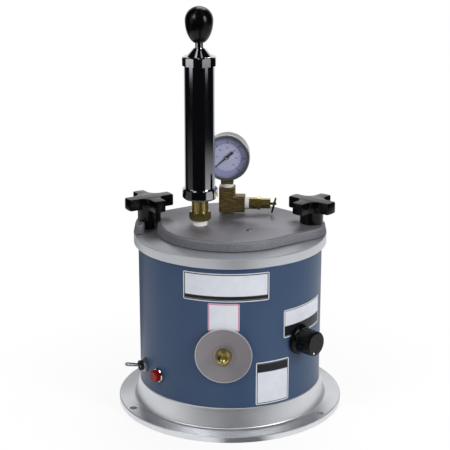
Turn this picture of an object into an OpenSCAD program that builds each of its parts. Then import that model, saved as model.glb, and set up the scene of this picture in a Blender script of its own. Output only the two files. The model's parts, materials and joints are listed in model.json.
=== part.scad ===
// Bench wax injector: a heated aluminium pot in a round painted shell on a flanged base. A hand
// pump on the lid raises the pressure, and the sprung nozzle in front lets the molten wax out.
// Millimetres, +Z up, the origin on the base's underside at its centre, the nozzle facing -Y.
// An angle given as a bearing counts from the nozzle, towards +X.

/* [Base] */
// Radius of the round foot flange
flange_r = 130.5; // [126:0.5:140]
// Thickness of the foot flange
flange_t = 6.9; // [5:0.1:9]
// Height of the sloped collar above the flange
collar_h = 22.9; // [20:0.1:30]
// How far the collar's foot stands out past the shell
collar_out = 5.6; // [3:0.1:8]
// Fillet between the collar and the flange
collar_fillet = 2.6; // [1:0.1:4]
// Radius of the bench fixing holes
fix_hole_r = 4.25; // [3:0.05:4.5]
// Distance from the flange's edge to the centre of a fixing hole
fix_hole_inset = 7.1; // [6.2:0.1:9]
// Thickness of the base casting's upright wall, measured in from the shell
base_wall = 9; // [8:0.5:11]
// Thickness of the bottom cover
cover_t = 1.5; // [1:0.1:2]

/* [Shell] */
// Outer radius of the painted shell
shell_r = 105; // [100:0.5:110]
// Thickness of the shell's sheet
shell_t = 1.5; // [1:0.1:2]
// Height of the shell
shell_h = 162.7; // [155:0.1:175]

/* [Pot] */
// Inner radius of the wax pot
pot_r = 77; // [70:0.5:79]
// Thickness of the pot's wall
pot_wall = 5; // [4:0.1:6]
// Depth of the pot below its rim
pot_depth = 150; // [140:0.5:155]
// How far the rim stands out past the shell
rim_out = 5.1; // [3:0.1:7]
// Height of the machined rim
rim_h = 11.2; // [10:0.1:14]
// Thickness of the lid gasket
gasket_t = 2.6; // [2:0.1:4]

/* [Lid] */
// Radius of the lid at its underside
lid_r = 84.2; // [84:0.1:86]
// Thickness of the lid
lid_t = 10.4; // [10:0.1:13]
// Draft of the cast edge, from the underside to the top
lid_draft = 2.2; // [0.5:0.1:3]
// Radius of the ear's round end
ear_r = 37; // [34:0.5:40]
// Distance from the pot's axis to each clamp stud
stud_x = 92.7; // [92.2:0.1:93.5]
// Radius of a clamp stud
stud_r = 4.76; // [4:0.01:5]
// How far a stud stands above the lid
stud_up = 22; // [20:0.5:23]

/* [Clamp knobs] */
// Radius over a knob's arms
knob_r = 28.5; // [26:0.1:30]
// Width of a knob's arm
knob_arm_w = 13.2; // [11:0.1:15]
// Height of the arms
knob_arm_h = 13.1; // [12.5:0.1:16]
// Radius of a knob's hub
knob_hub_r = 13.3; // [12:0.1:14]
// Height of the hub below the arms
knob_hub_h = 14.5; // [13:0.1:16]

/* [Pump] */
// Place of the pump on the lid, across
pump_x = -32.9; // [-40:0.1:-25]
// Place of the pump on the lid, front to back
pump_y = -16.3; // [-25:0.1:-15]
// Outer radius of the pump tube
tube_r = 17.1; // [15:0.1:18]
// Wall of the pump tube
tube_wall = 1.4; // [1:0.1:2]
// Visible length of the pump tube between its two fittings
tube_l = 137.6; // [136:0.1:160]
// Radius of the pump rod
rod_r = 4.5; // [3.5:0.1:5]
// Largest radius of the pump's grip
grip_r = 15.6; // [13:0.1:18]
// Height of the pump's grip
grip_h = 39.2; // [34:0.1:44]

/* [Gauge and relief valve] */
// Place of the gauge's tee on the lid, across
tee_x = -5.6; // [-8:0.1:2]
// Place of the gauge's tee on the lid, front to back
tee_y = 35.5; // [32:0.1:40]
// Width of the tee's body
tee_w = 18.6; // [17:0.1:20]
// Height of the tee's body
tee_h = 29.2; // [27:0.1:33]
// Height of the tee's side branch
branch_h = 18.8; // [17:0.1:20]
// Outer radius of the gauge
gauge_r = 26.7; // [25:0.1:30]
// Depth of the gauge's case
gauge_d = 25; // [22:0.5:30]
// Length of the relief valve's body
relief_l = 24.8; // [22:0.1:30]
// Radius of the pull ring, to the middle of its wire
ring_r = 8.6; // [8:0.1:10]
// Radius of the pull ring's wire
ring_wire_r = 0.9; // [0.7:0.05:1]

/* [Front fittings] */
// Height of the nozzle
nozzle_z = 92.6; // [88:0.1:96]
// Radius of the nozzle
nozzle_r = 8.85; // [8:0.05:9.5]
// How far the nozzle stands out of its disc
nozzle_out = 18.8; // [16:0.1:20]
// Radius of the hole in the nozzle's tip
tip_hole_r = 0.9; // [0.6:0.1:1.2]
// Radius of the disc behind the nozzle
disc_r = 31.4; // [28:0.1:34]
// Bearing of the temperature knob
dial_bearing = 50.9; // [45:0.1:60]
// Height of the temperature knob
dial_z = 99; // [96:0.1:110]
// Radius of the temperature knob's skirt
dial_skirt_r = 17; // [15:0.1:18]
// Radius of the temperature knob's cap
dial_cap_r = 14; // [12:0.1:14.5]
// Length of the temperature knob
dial_l = 24; // [20:0.1:26]
// Bearing of the power switch
switch_bearing = -63.6; // [-72:0.1:-62]
// Height of the power switch
switch_z = 54.7; // [52:0.1:64]
// Length of the switch's lever outside its bush
lever_l = 17.5; // [14:0.1:20]
// Bearing of the pilot lamp
lamp_bearing = -45.9; // [-50:0.1:-40]
// Height of the pilot lamp
lamp_z = 53.7; // [50:0.1:64]
// Radius of the pilot lamp's lens
lens_r = 6.9; // [6:0.1:7.5]
// Bearing of the cable gland
gland_bearing = -150; // [-155:1:-140]
// Height of the cable gland
gland_z = 56; // [53:0.5:64]
// Radius of the cable's way through the gland
gland_bore_r = 3.8; // [3:0.1:4.5]

/* [Hidden] */
$fn = 96;
eps = 0.5; // overrun of every cut
fit = 0.05; // running clearance of a sliding or turning pair
gap = 0.3; // clearance between pieces that only face each other
edge = 0.8; // small machined chamfer
// levels, from the bench up
base_top = flange_t + collar_h;
rim_z = base_top + shell_h;
rim_top = rim_z + rim_h;
gasket_up = 0.6; // how far the gasket keeps the lid above the rim
lid_z = rim_top + gasket_up;
lid_top = lid_z + lid_t;
rim_r = shell_r + rim_out;
// base
collar_top_out = 1; // the collar's top edge past the shell
base_in_r = shell_r - base_wall;
spigot_h = 6; // the lip that centres the shell
cover_z = 5.5; // the ledge that the bottom cover lies against
cover_seat_w = 7.7; // width of that ledge
cover_r = base_in_r + cover_seat_w;
cover_screw_off = base_in_r + cover_seat_w / 2;
screw_r = 1.5;
screw_l = 8;
screw_head_r = 2.9;
screw_head_h = 2;
fix_holes = 3;
fix_off = flange_r - fix_hole_inset;
// tie rods that hold the rim, the shell and the base together
tie_bearings = [105, 180, 255];
tie_r = 2.4;
tie_hole_r = tie_r + fit;
tie_inset = 14;
tie_off = shell_r - tie_inset;
lug_r = 7;
lug_z = 15;
lug_h = 8;
tie_nut_w = 8; // across its flats
tie_nut_h = 4;
tie_tail = 2;
tie_in_rim = 7;
// pot
pot_out_r = pot_r + pot_wall;
pot_floor = 6;
pot_fillet = 9;
pot_z = rim_top - pot_depth; // the pot's floor inside
rim_spigot_h = 3;
rim_spigot_w = 5;
gasket_w = 6.4;
gasket_side = 0.4;
// nozzle valve, lengths along the valve's own axis from the pot's axis
valve_thread_r = 12.6;
valve_body_r = 14.2;
boss_r = 17.5;
boss_l = 9;
valve_way_r = 4;
disc_t = 3;
disc_back = shell_r + gap;
disc_front = disc_back + disc_t;
nose_r = 11.4; // the threaded nose that the disc screws onto
nose_l = 2.2;
valve_seat = pot_out_r + boss_l; // the shoulder on the pot's boss
valve_cave_r = 10.7;
valve_wall = 2; // wall behind the nozzle's spring
valve_cave_back = pot_out_r + valve_wall;
valve_lip = 4; // thickness of the lip that keeps the nozzle in
nozzle_flange_r = valve_cave_r - fit;
nozzle_flange_t = 3.6;
nozzle_tip_r = 2.1;
nozzle_way_r = 2.4;
nozzle_straight = 4.2; // cylindrical stretch in front of the disc
nozzle_tail_r = 4.4;
spring_wire_r = 0.6;
// heater, under the valve's boss
band_t = 3;
band_h = 15;
band_z = nozzle_z - boss_r - band_h - edge;
band_split = 8;
band_lug_h = 8;
// dial, lengths along its own axis from the pot's axis
thermo_w = 34;
thermo_h = 30;
thermo_inset = 7; // from the shell's outside to the thermostat's face
thermo_front = shell_r - thermo_inset;
thermo_bush_r = 4.7;
dial_gap = 1.2;
dial_back = shell_r + dial_gap;
dial_shaft_r = 3;
dial_shaft_in = 9;
dial_flutes = 20;
dial_flute_r = 1.1;
dial_skirt_t = 3.2;
// insulation, above the thermostat
blanket_t = 5;
blanket_space = 4;
blanket_low = dial_z + thermo_h / 2 + 2 * blanket_space;
blanket_high = rim_z - rim_spigot_h - blanket_space;
// switch
switch_w = 12.7;
switch_h = 22;
switch_inset = 17.5; // from the shell's outside to the switch's back
switch_back = shell_r - switch_inset;
switch_front = shell_r - shell_t - edge;
switch_bush_r = 5.9;
switch_bush_out = 7.5;
switch_nut_w = 14.2;
switch_nut_t = 2.6;
switch_washer_r = 8.3;
switch_washer_t = 1.2;
lever_tilt = 12;
lever_root_r = 1.7;
lever_tip_r = 2.3;
lever_ball_r = 3.4;
// lamp
lamp_barrel_r = 5;
lamp_wall = 1;
lamp_inset = 15; // from the shell's outside to the lamp's back
lamp_back = shell_r - lamp_inset;
bezel_r = 8.2;
bezel_t = 2.4;
lens_out = 6.2; // how far the lens stands out of its bezel
// gland
gland_flange_r = 9.5;
gland_flange_t = 4;
gland_neck_r = 7.6;
gland_in = 11;
gland_nut_w = 19;
gland_nut_t = 4;
// studs and knobs
stud_in_rim = 8.7;
stud_hole_r = stud_r + fit;
ear_clear = 0.5; // round a stud in the lid's hole
ear_hole_r = stud_r + ear_clear;
slot_clear = 0.4; // beside the stud in the lid's slot
slot_half = stud_r + slot_clear;
ear_out = 0.4; // the ear's round end past the rim, before it is trimmed to the rim
ear_x = rim_r - ear_r + ear_out;
web_in = 0.15;
finger_y = -19; // where the fork's finger starts to round off
finger_back = 3; // how far the finger's block reaches into the ear
finger_r = 6.3;
finger_lap = 0.4; // the finger's round end past the slot's edge, before the slot is cut
plug_x = 21.7;
plug_y = -33;
plug_r = 5.1;
plug_socket_w = 4.8;
plug_socket_h = 5;
knob_z = lid_top + gap;
insert_r = 8;
insert_z = lid_top + gap / 2;
insert_h = 19;
insert_top = insert_z + insert_h;
insert_bore_r = stud_r + fit;
stud_top = lid_top + stud_up;
knob_fillet = 11; // concave fillet between two arms
knob_corner = 3;
knob_edge = 1.2;
// pump levels
tape_h = 6.2;
adapter_thread_r = 7.9;
adapter_hex_w = 21.4;
adapter_hex_h = 9.7;
adapter_neck_r = 9.4;
adapter_neck_h = 15;
base_nut_r = 19.8;
base_nut_h = 12.6;
base_nut_edge = 2.2;
cap_r = 19;
cap_h = 10.2;
cap_flats = 12;
cone_r = 14.4;
cone_top_r = 6;
cone_h = 9;
lid_bore_r = 8;
adapter_z = lid_top + tape_h;
neck_z = adapter_z + adapter_hex_h;
base_nut_z = neck_z + adapter_neck_h;
tube_z = base_nut_z + base_nut_h;
cap_z = tube_z + tube_l;
cone_z = cap_z + cap_h;
rod_top = cone_z + cone_h;
tube_in_r = tube_r - tube_wall;
nut_floor = 3.4;
adapter_in = 2; // length of the adapter's nose in the base nut
piston_r = tube_in_r - fit;
piston_h = 6;
cup_h = 9;
cup_t = 1.6;
piston_stop = 1; // space left under the cup at the end of the stroke
piston_z = base_nut_z + nut_floor + cup_h + piston_stop;
grip_up = 5.9; // how far the grip stays above the cap at the end of the stroke
grip_z = rod_top + grip_up;
grip_low_share = 0.61; // height of the grip's widest level
grip_long_share = 1.09; // the lower half's ellipse over that height, which leaves a neck
rod_in_grip = 20;
ball_r = 3.2;
ball_seat_r = 2.2;
check_way_r = 4.2;
check_ball_z = neck_z - sqrt(pow(ball_r, 2) - pow(ball_seat_r, 2));
// gauge and fittings
tee_thread_r = 6.85;
tee_way_r = 4.85;
tee_gap = 2.5; // thread tape showing under the tee
tee_z = lid_top + tee_gap;
tee_top = tee_z + tee_h;
branch_l = 11.4; // how far the branch stands out of the tee's body
branch_z = tee_z + branch_h / 2;
branch_x = tee_x + tee_w / 2 + branch_l;
branch_way_r = 3;
tee_d = 18;
tee_corner = 11.6; // radius over the turned ends of the tee
tape_r = 7.3;
gauge_thread_r = 5.85;
gauge_way_r = 1.5;
gauge_tape_h = 4.2;
gauge_hex_w = 14.2;
gauge_neck_h = 6.1; // stem showing between the tape and the gauge
gauge_behind = 8.5; // how far the case reaches behind the stem's axis
gauge_z = tee_top + gauge_tape_h + gauge_neck_h + gauge_r;
gauge_y = tee_y + gauge_behind - gauge_d;
gauge_ring_t = 5.5;
gauge_ring_w = 3.4;
gauge_ring_out = 1.1; // the ring past the case
case_r = gauge_r - gauge_ring_out;
case_wall = 1.2;
dial_plate_t = 0.8;
glass_t = 1.6;
needle_l = 19.5;
needle_tail = 9.5;
needle_w = 1.1; // from the pointer's middle line to its edge, at the hub
needle_tail_w = 1.6; // the same at the end of its tail
needle_t = 0.5;
needle_hub_r = 2.6;
needle_pin_r = 0.8;
needle_gap = 1; // from the pointer to the dial
needle_zero = 222; // pointer's direction at no pressure, counted from +X seen from the front
relief_tape_l = 4.8;
relief_x = branch_x + relief_tape_l;
relief_end = relief_x + relief_l;
relief_r = 6.1;
relief_end_r = 5.4; // the outer hexagon's, which is smaller
relief_thread_r = 5;
relief_mid_r = 7.6;
relief_mid_w = 3.4;
relief_mid_share = 0.47; // place of the collar along the body
relief_vent_share = 0.27; // place of the vents along the body
relief_mid_x = relief_x + relief_l * relief_mid_share;
relief_vent_r = 2.2;
relief_bore_r = 4;
relief_wall = 5;
stem_r = 1.8;
stem_out = 6.9;
stem_head_x = relief_x + edge;
stem_head_r = relief_bore_r - fit;
stem_head_t = 2.4;
ring_out = 4.1; // from the body's end to the ring's hole
ring_x = relief_end + ring_out;
ring_lean = 15;
ring_hole_r = ring_wire_r + gap;

// Colours
blue = "#4a6078";
bright = "#c9cbce";
grey = "#8e8f93";
black = "#1b1b1d";
brass = "#b9963f";
dull_brass = "#8a7238";
chrome = "#d4d6da";
white = "#efefec";

// Stands its children on the given bearing and height, their +Z pointing outwards
module outward(bearing, z) {
    rotate([0, 0, bearing - 90]) translate([0, 0, z]) rotate([0, 90, 0]) children();
}

// Places its children on a bearing at a distance from the pot's axis, upright
module at_bearing(bearing, off) {
    rotate([0, 0, bearing - 90]) translate([off, 0, 0]) children();
}

// A straight ring from z0 to z1
module ring(r_out, r_in, z0, z1) {
    translate([0, 0, z0]) difference() {
        cylinder(r = r_out, h = z1 - z0);
        translate([0, 0, -eps]) cylinder(r = r_in, h = z1 - z0 + 2 * eps);
    }
}

// A solid round bar from z0 to z1
module bar(r, z0, z1) {
    translate([0, 0, z0]) cylinder(r = r, h = z1 - z0);
}

// A hexagonal bar, w across its flats
module hex_bar(w, z0, z1) {
    translate([0, 0, z0]) cylinder(d = w / cos(30), h = z1 - z0, $fn = 6);
}

// Points of an arc, from angle a to angle b
function arc(cx, cy, r, a, b, n) =
    [for (i = [0 : n]) [cx + r * cos(a + (b - a) * i / n), cy + r * sin(a + (b - a) * i / n)]];

// A round coil spring of the given mean radius, as one tube swept along a helix
module spring(mean_r, wire_r, z0, z1, turns) {
    sides = 6;
    steps = turns * 12;
    rise = z1 - z0 - 2 * wire_r;
    points = [for (i = [0 : steps], k = [0 : sides - 1])
        let (a = 360 * turns * i / steps, q = 360 * k / sides, r = mean_r + wire_r * cos(q))
        [r * cos(a), r * sin(a), z0 + wire_r + rise * i / steps + wire_r * sin(q)]];
    walls = [for (i = [0 : steps - 1], k = [0 : sides - 1], half = [0, 1])
        let (m = (k + 1) % sides, low = i * sides, high = low + sides)
        half == 0 ? [low + k, high + k, high + m] : [low + k, high + m, low + m]];
    first = [for (k = [1 : sides - 2]) [0, k, k + 1]];
    last = [for (k = [1 : sides - 2]) [steps * sides, steps * sides + k + 1, steps * sides + k]];
    polyhedron(points = points, faces = concat(walls, first, last));
}

module base_flange() {
    foot_r = shell_r + collar_out;
    top_r = shell_r + collar_top_out;
    spigot_r = shell_r - shell_t - fit;
    profile = concat(
        [[cover_r + gap, 0], [flange_r - edge, 0], [flange_r, edge], [flange_r, flange_t - edge],
            [flange_r - edge, flange_t]],
        arc(foot_r + collar_fillet, flange_t + collar_fillet, collar_fillet, 270, 190, 6),
        [[top_r, base_top - edge], [top_r - edge, base_top], [spigot_r, base_top],
            [spigot_r, base_top + spigot_h], [base_in_r, base_top + spigot_h],
            [base_in_r, cover_z], [cover_r + gap, cover_z]]);
    color(bright) difference() {
        union() {
            rotate_extrude() polygon(profile);
            for (b = tie_bearings) at_bearing(b, tie_off) {
                bar(lug_r, lug_z, lug_z + lug_h);
                translate([0, -lug_r, lug_z])
                    cube([base_in_r - tie_off + edge, 2 * lug_r, lug_h]);
            }
        }
        for (b = tie_bearings) at_bearing(b, tie_off) bar(tie_hole_r, lug_z - eps, lug_z + lug_h + eps);
        for (i = [0 : fix_holes - 1]) at_bearing(180 + 360 / fix_holes * i, fix_off)
            bar(fix_hole_r, -eps, flange_t + eps);
        for (i = [0 : 3]) at_bearing(45 + 90 * i, cover_screw_off)
            bar(screw_r, cover_z - eps, cover_z + screw_l);
    }
}

module bottom_cover() {
    color(bright) difference() {
        bar(cover_r, cover_z - cover_t, cover_z);
        for (i = [0 : 3]) at_bearing(45 + 90 * i, cover_screw_off)
            bar(screw_r + gap / 2, cover_z - cover_t - eps, cover_z + eps);
    }
}

module cover_screws() {
    head_z = cover_z - cover_t;
    color(chrome) for (i = [0 : 3]) at_bearing(45 + 90 * i, cover_screw_off) difference() {
        union() {
            bar(screw_r - fit, head_z - edge, cover_z + screw_l - edge);
            bar(screw_head_r, head_z - screw_head_h, head_z);
        }
        translate([0, 0, head_z - screw_head_h])
            cube([screw_head_r, edge, screw_head_h], center = true);
    }
}

module outer_shell() {
    color(blue) difference() {
        ring(shell_r, shell_r - shell_t, base_top, rim_z);
        outward(0, nozzle_z) bar(valve_body_r + edge, pot_out_r, shell_r + eps);
        outward(dial_bearing, dial_z) bar(thermo_bush_r + gap, pot_out_r, shell_r + eps);
        outward(switch_bearing, switch_z) bar(switch_bush_r + gap / 2, pot_out_r, shell_r + eps);
        outward(lamp_bearing, lamp_z) bar(lamp_barrel_r + gap / 2, pot_out_r, shell_r + eps);
        outward(gland_bearing, gland_z) bar(gland_neck_r + gap / 2, pot_out_r, shell_r + eps);
    }
}

module wax_tank() {
    spigot_r = shell_r - shell_t - fit;
    under = pot_z - pot_floor;
    profile = concat(
        [[0, under]],
        arc(pot_out_r - pot_fillet, under + pot_fillet, pot_fillet, 270, 360, 6),
        [[pot_out_r, rim_z], [spigot_r - rim_spigot_w, rim_z],
            [spigot_r - rim_spigot_w, rim_z - rim_spigot_h], [spigot_r, rim_z - rim_spigot_h],
            [spigot_r, rim_z], [rim_r - edge, rim_z], [rim_r, rim_z + edge],
            [rim_r, rim_top - edge], [rim_r - edge, rim_top],
            [pot_r + gasket_w + gasket_side, rim_top],
            [pot_r + gasket_w + gasket_side, rim_top - gasket_t + gasket_up],
            [pot_r, rim_top - gasket_t + gasket_up]],
        arc(pot_r - pot_fillet, pot_z + pot_fillet, pot_fillet, 360, 270, 6),
        [[0, pot_z]]);
    color(grey) difference() {
        union() {
            rotate_extrude() polygon(profile);
            outward(0, nozzle_z) bar(boss_r, pot_out_r - pot_wall / 2, valve_seat);
        }
        outward(0, nozzle_z) {
            bar(valve_thread_r + fit, pot_out_r - pot_wall / 2, valve_seat + eps);
            bar(valve_way_r, 0, valve_seat);
        }
        for (s = [-1, 1]) translate([s * stud_x, 0, 0])
            bar(stud_hole_r, rim_top - stud_in_rim, rim_top + eps);
        for (b = tie_bearings) at_bearing(b, tie_off)
            bar(tie_hole_r, rim_z - rim_spigot_h - eps, rim_z + tie_in_rim);
    }
}

module lid_gasket() {
    color(black) ring(pot_r + gasket_w, pot_r + gasket_side, lid_z - gasket_t, lid_z);
}

module heater_band() {
    color(bright) difference() {
        union() {
            bar(pot_out_r + band_t, band_z, band_z + band_h);
            // two lugs for the clamp screw, at the back
            translate([-band_split / 2 - band_t, 0, band_z + (band_h - band_lug_h) / 2])
                cube([band_split + 2 * band_t, pot_out_r + band_t + band_lug_h, band_lug_h]);
        }
        translate([-band_split / 2, pot_r, band_z - eps])
            cube([band_split, 2 * band_lug_h + pot_wall, band_h + 2 * eps]);
        bar(pot_out_r + fit, band_z - eps, band_z + band_h + eps);
    }
}

module insulation_blanket() {
    color(white) ring(pot_out_r + gap + blanket_t, pot_out_r + gap, blanket_low, blanket_high);
}

module tie_rods() {
    color(bright) for (b = tie_bearings) at_bearing(b, tie_off)
        bar(tie_r, lug_z - tie_nut_h - tie_tail, rim_z + tie_in_rim - edge);
}

module tie_nuts() {
    color(bright) for (b = tie_bearings) at_bearing(b, tie_off) difference() {
        hex_bar(tie_nut_w, lug_z - tie_nut_h, lug_z);
        bar(tie_r + fit, lug_z - tie_nut_h - eps, lug_z + eps);
    }
}

module thermostat_body() {
    color(black) difference() {
        outward(dial_bearing, dial_z) {
            translate([-thermo_h / 2, -thermo_w / 2, pot_r])
                cube([thermo_h, thermo_w, thermo_front - pot_r]);
            bar(thermo_bush_r, thermo_front - edge, shell_r + edge);
        }
        bar(pot_out_r + fit, dial_z - thermo_h, dial_z + thermo_h);
        outward(dial_bearing, dial_z)
            bar(dial_shaft_r + fit, shell_r - dial_shaft_in - gap, shell_r + edge + eps);
    }
}

module thermostat_shaft() {
    color(chrome) outward(dial_bearing, dial_z)
        bar(dial_shaft_r, shell_r - dial_shaft_in, dial_back + dial_l / 2);
}

module temperature_knob() {
    front = dial_back + dial_l;
    waist = dial_back + dial_skirt_t;
    color(black) outward(dial_bearing, dial_z) difference() {
        union() {
            rotate_extrude() polygon(concat(
                [[0, dial_back], [dial_skirt_r, dial_back], [dial_skirt_r, waist - edge]],
                arc(dial_cap_r + dial_skirt_t, waist + dial_skirt_t, dial_skirt_t, 250, 180, 5),
                [[dial_cap_r, front - 2 * edge], [dial_cap_r - edge, front - edge / 2],
                    [dial_cap_r - 2 * edge, front], [0, front]]));
        }
        for (i = [0 : dial_flutes - 1]) rotate([0, 0, 360 / dial_flutes * i])
            translate([dial_cap_r + dial_flute_r / 2, 0, 0])
            bar(dial_flute_r, waist + dial_skirt_t, front + eps);
        bar(dial_shaft_r + fit / 2, dial_back - eps, dial_back + dial_l / 2);
    }
}

module switch_body() {
    color(black) outward(switch_bearing, switch_z) difference() {
        union() {
            translate([-switch_h / 2, -switch_w / 2, switch_back])
                cube([switch_h, switch_w, switch_front - switch_back]);
            bar(switch_bush_r, switch_front - eps, shell_r + switch_bush_out);
        }
        translate([0, 0, shell_r + switch_bush_out / 2])
            cylinder(r1 = lever_ball_r + fit, r2 = switch_bush_r - edge, h = switch_bush_out / 2 + fit);
        bar(lever_ball_r + fit, switch_front, shell_r + switch_bush_out);
    }
}

module switch_nut() {
    nut_z = shell_r + switch_washer_t;
    color(chrome) outward(switch_bearing, switch_z) difference() {
        union() {
            bar(switch_washer_r, shell_r + gap / 2, nut_z);
            intersection() {
                hex_bar(switch_nut_w, nut_z - fit, nut_z + switch_nut_t);
                translate([0, 0, nut_z - eps]) cylinder(r1 = switch_nut_w / cos(30) / 2 + switch_nut_t,
                    r2 = switch_nut_w / 2 - fit, h = switch_nut_t + eps);
            }
        }
        bar(switch_bush_r + fit, shell_r, nut_z + switch_nut_t + eps);
    }
}

module switch_lever() {
    pivot = shell_r + switch_bush_out / 2;
    arm = switch_bush_out / 2 + lever_l - lever_tip_r;
    color(chrome) outward(switch_bearing, switch_z) translate([0, 0, pivot]) {
        sphere(r = lever_ball_r, $fn = 48);
        rotate([0, -lever_tilt, 0]) {
            cylinder(r1 = lever_root_r, r2 = lever_tip_r, h = arm);
            translate([0, 0, arm]) sphere(r = lever_tip_r, $fn = 48);
        }
    }
}

module lamp_body() {
    color(black) outward(lamp_bearing, lamp_z) difference() {
        bar(lamp_barrel_r, lamp_back, shell_r + gap + bezel_t / 2);
        bar(lamp_barrel_r - lamp_wall, lamp_back + 2 * lamp_wall, shell_r + bezel_t);
    }
}

module lamp_bezel() {
    front = shell_r + gap + bezel_t;
    ledge = front - bezel_t / 2;
    color(chrome) outward(lamp_bearing, lamp_z) rotate_extrude() polygon([[lens_r + fit, front],
        [lens_r + fit, ledge], [lamp_barrel_r + fit, ledge], [lamp_barrel_r + fit, shell_r + gap / 2],
        [bezel_r, shell_r + gap / 2], [bezel_r, front - edge], [bezel_r - edge, front]]);
}

module lamp_lens() {
    back = shell_r + gap + bezel_t / 2;
    front = shell_r + gap + bezel_t + lens_out;
    color("#a01217") outward(lamp_bearing, lamp_z) rotate_extrude() polygon(concat(
        [[0, back], [lens_r, back]],
        arc(lens_r - 2 * edge, front - 2 * edge, 2 * edge, 0, 90, 6),
        [[0, front]]));
}

module valve_body() {
    color(brass) outward(0, nozzle_z) difference() {
        union() {
            bar(valve_thread_r, pot_out_r - pot_wall / 2 + fit, valve_seat + eps);
            bar(valve_body_r, valve_seat, disc_back);
            bar(nose_r, disc_back - eps, disc_back + nose_l);
        }
        bar(valve_way_r, pot_r, disc_back);
        bar(valve_cave_r, valve_cave_back, disc_back + nose_l - valve_lip);
        bar(nozzle_r + fit, disc_back - valve_lip, disc_front);
    }
}

module nozzle_disc() {
    color(grey) outward(0, nozzle_z) difference() {
        bar(disc_r, disc_back, disc_front);
        bar(nose_r + fit, disc_back - eps, disc_back + nose_l);
        bar(nozzle_r + gap, disc_back, disc_front + eps);
    }
}

module nozzle() {
    lip = disc_back + nose_l - valve_lip;
    back = lip - nozzle_flange_t;
    tip = disc_front + nozzle_out;
    straight = disc_front + nozzle_straight;
    cone_l = tip - straight;
    // the cone's side bulges: a power curve from the full radius to the tip's
    side = [for (i = [0 : 10]) let (t = i / 10)
        [nozzle_tip_r + (nozzle_r - nozzle_tip_r) * pow(1 - pow(t, 1.5), 0.8), straight + cone_l * t]];
    color(brass) outward(0, nozzle_z) difference() {
        rotate_extrude() polygon(concat(
            [[0, back - nozzle_tail_r], [nozzle_tail_r, back - nozzle_tail_r], [nozzle_tail_r, back],
                [nozzle_flange_r, back], [nozzle_flange_r, lip - fit], [nozzle_r, lip - fit]],
            side, [[0, tip]]));
        bar(nozzle_way_r, 0, straight + cone_l / 2);
        bar(tip_hole_r, straight, tip + eps);
    }
}

module nozzle_spring() {
    front = disc_back + nose_l - valve_lip - nozzle_flange_t;
    color(chrome) outward(0, nozzle_z)
        spring(valve_cave_r - 3 * spring_wire_r, spring_wire_r, valve_cave_back + fit, front - fit, 4);
}

module cable_gland() {
    color(black) outward(gland_bearing, gland_z) difference() {
        union() {
            bar(gland_neck_r, shell_r - gland_in, shell_r + eps);
            rotate_extrude() polygon([[0, shell_r + gap / 2], [gland_flange_r, shell_r + gap / 2],
                [gland_flange_r, shell_r + gland_flange_t - edge],
                [gland_flange_r - 2 * edge, shell_r + gland_flange_t], [0, shell_r + gland_flange_t]]);
        }
        bar(gland_bore_r, shell_r - gland_in - eps, shell_r + gland_flange_t + eps);
    }
}

module gland_nut() {
    nut_top = shell_r - shell_t - edge;
    color(black) outward(gland_bearing, gland_z) difference() {
        hex_bar(gland_nut_w, nut_top - gland_nut_t, nut_top);
        bar(gland_neck_r + fit, nut_top - gland_nut_t - eps, nut_top + eps);
    }
}

module clamp_studs() {
    color(black) for (s = [-1, 1]) translate([s * stud_x, 0, 0]) {
        bar(stud_r, rim_top - stud_in_rim + fit, stud_top - edge);
        translate([0, 0, stud_top - edge]) cylinder(r1 = stud_r, r2 = stud_r - edge, h = edge);
    }
}

module knob_insert(side) {
    color(dull_brass) translate([side * stud_x, 0, 0])
        ring(insert_r, insert_bore_r, insert_z, insert_top);
}

// Outline of the four arms, with a deep concave fillet between neighbours
module knob_outline(r, w) {
    offset(r = knob_corner, $fn = 24) offset(delta = -knob_corner)
        offset(r = -knob_fillet, $fn = 48) offset(delta = knob_fillet)
        union() {
            for (a = [0, 90]) rotate(a) square([2 * r, w], center = true);
            circle(r = knob_hub_r, $fn = 48);
        }
}

module clamp_knob(side, turn) {
    arms_z = knob_z + knob_hub_h;
    top = arms_z + knob_arm_h;
    color(black) translate([side * stud_x, 0, 0]) difference() {
        union() {
            translate([0, 0, knob_z]) cylinder(r1 = knob_hub_r - edge, r2 = knob_hub_r, h = edge);
            bar(knob_hub_r, knob_z + edge, arms_z + edge);
            // the arms' ends are turned with a bevel above and below
            intersection() {
                translate([0, 0, arms_z]) rotate([0, 0, turn])
                    linear_extrude(knob_arm_h) knob_outline(knob_r + edge, knob_arm_w);
                rotate_extrude() polygon([[0, arms_z], [knob_r - knob_edge, arms_z],
                    [knob_r, arms_z + knob_edge], [knob_r, top - knob_edge],
                    [knob_r - knob_edge, top], [0, top]]);
            }
        }
        bar(insert_r + fit, knob_z - eps, insert_top + gap);
        bar(stud_r + gap, insert_top, stud_top + gap);
    }
}

// The side of an ear: a wedge whose flanks run just inside the tangents from the lid's disc to
// the ear's round end
module ear_web(side) {
    turn = acos((lid_r - ear_r) / ear_x);
    corner = function (inset, s, far) far
        ? [ear_x + (ear_r - inset) * cos(turn), s * (ear_r - inset) * sin(turn)]
        : [(lid_r - inset) * cos(turn), s * (lid_r - inset) * sin(turn)];
    ends = [[-1, false], [-1, true], [1, true], [1, false]];
    low = [for (s = ends) corner(web_in, s[0], s[1])];
    high = [for (s = ends) corner(web_in + lid_draft, s[0], s[1])];
    points = concat([for (p = low) [p[0], p[1], lid_z]], [for (p = high) [p[0], p[1], lid_top]]);
    faces = [[0, 1, 2, 3], [7, 6, 5, 4], [0, 4, 5, 1], [1, 5, 6, 2], [2, 6, 7, 3], [3, 7, 4, 0]];
    mirror([side < 0 ? 1 : 0, 0, 0]) polyhedron(points = points, faces = faces);
}

module ear(side) {
    translate([side * ear_x, 0, lid_z]) cylinder(r1 = ear_r, r2 = ear_r - lid_draft, h = lid_t);
    ear_web(side);
}

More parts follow.
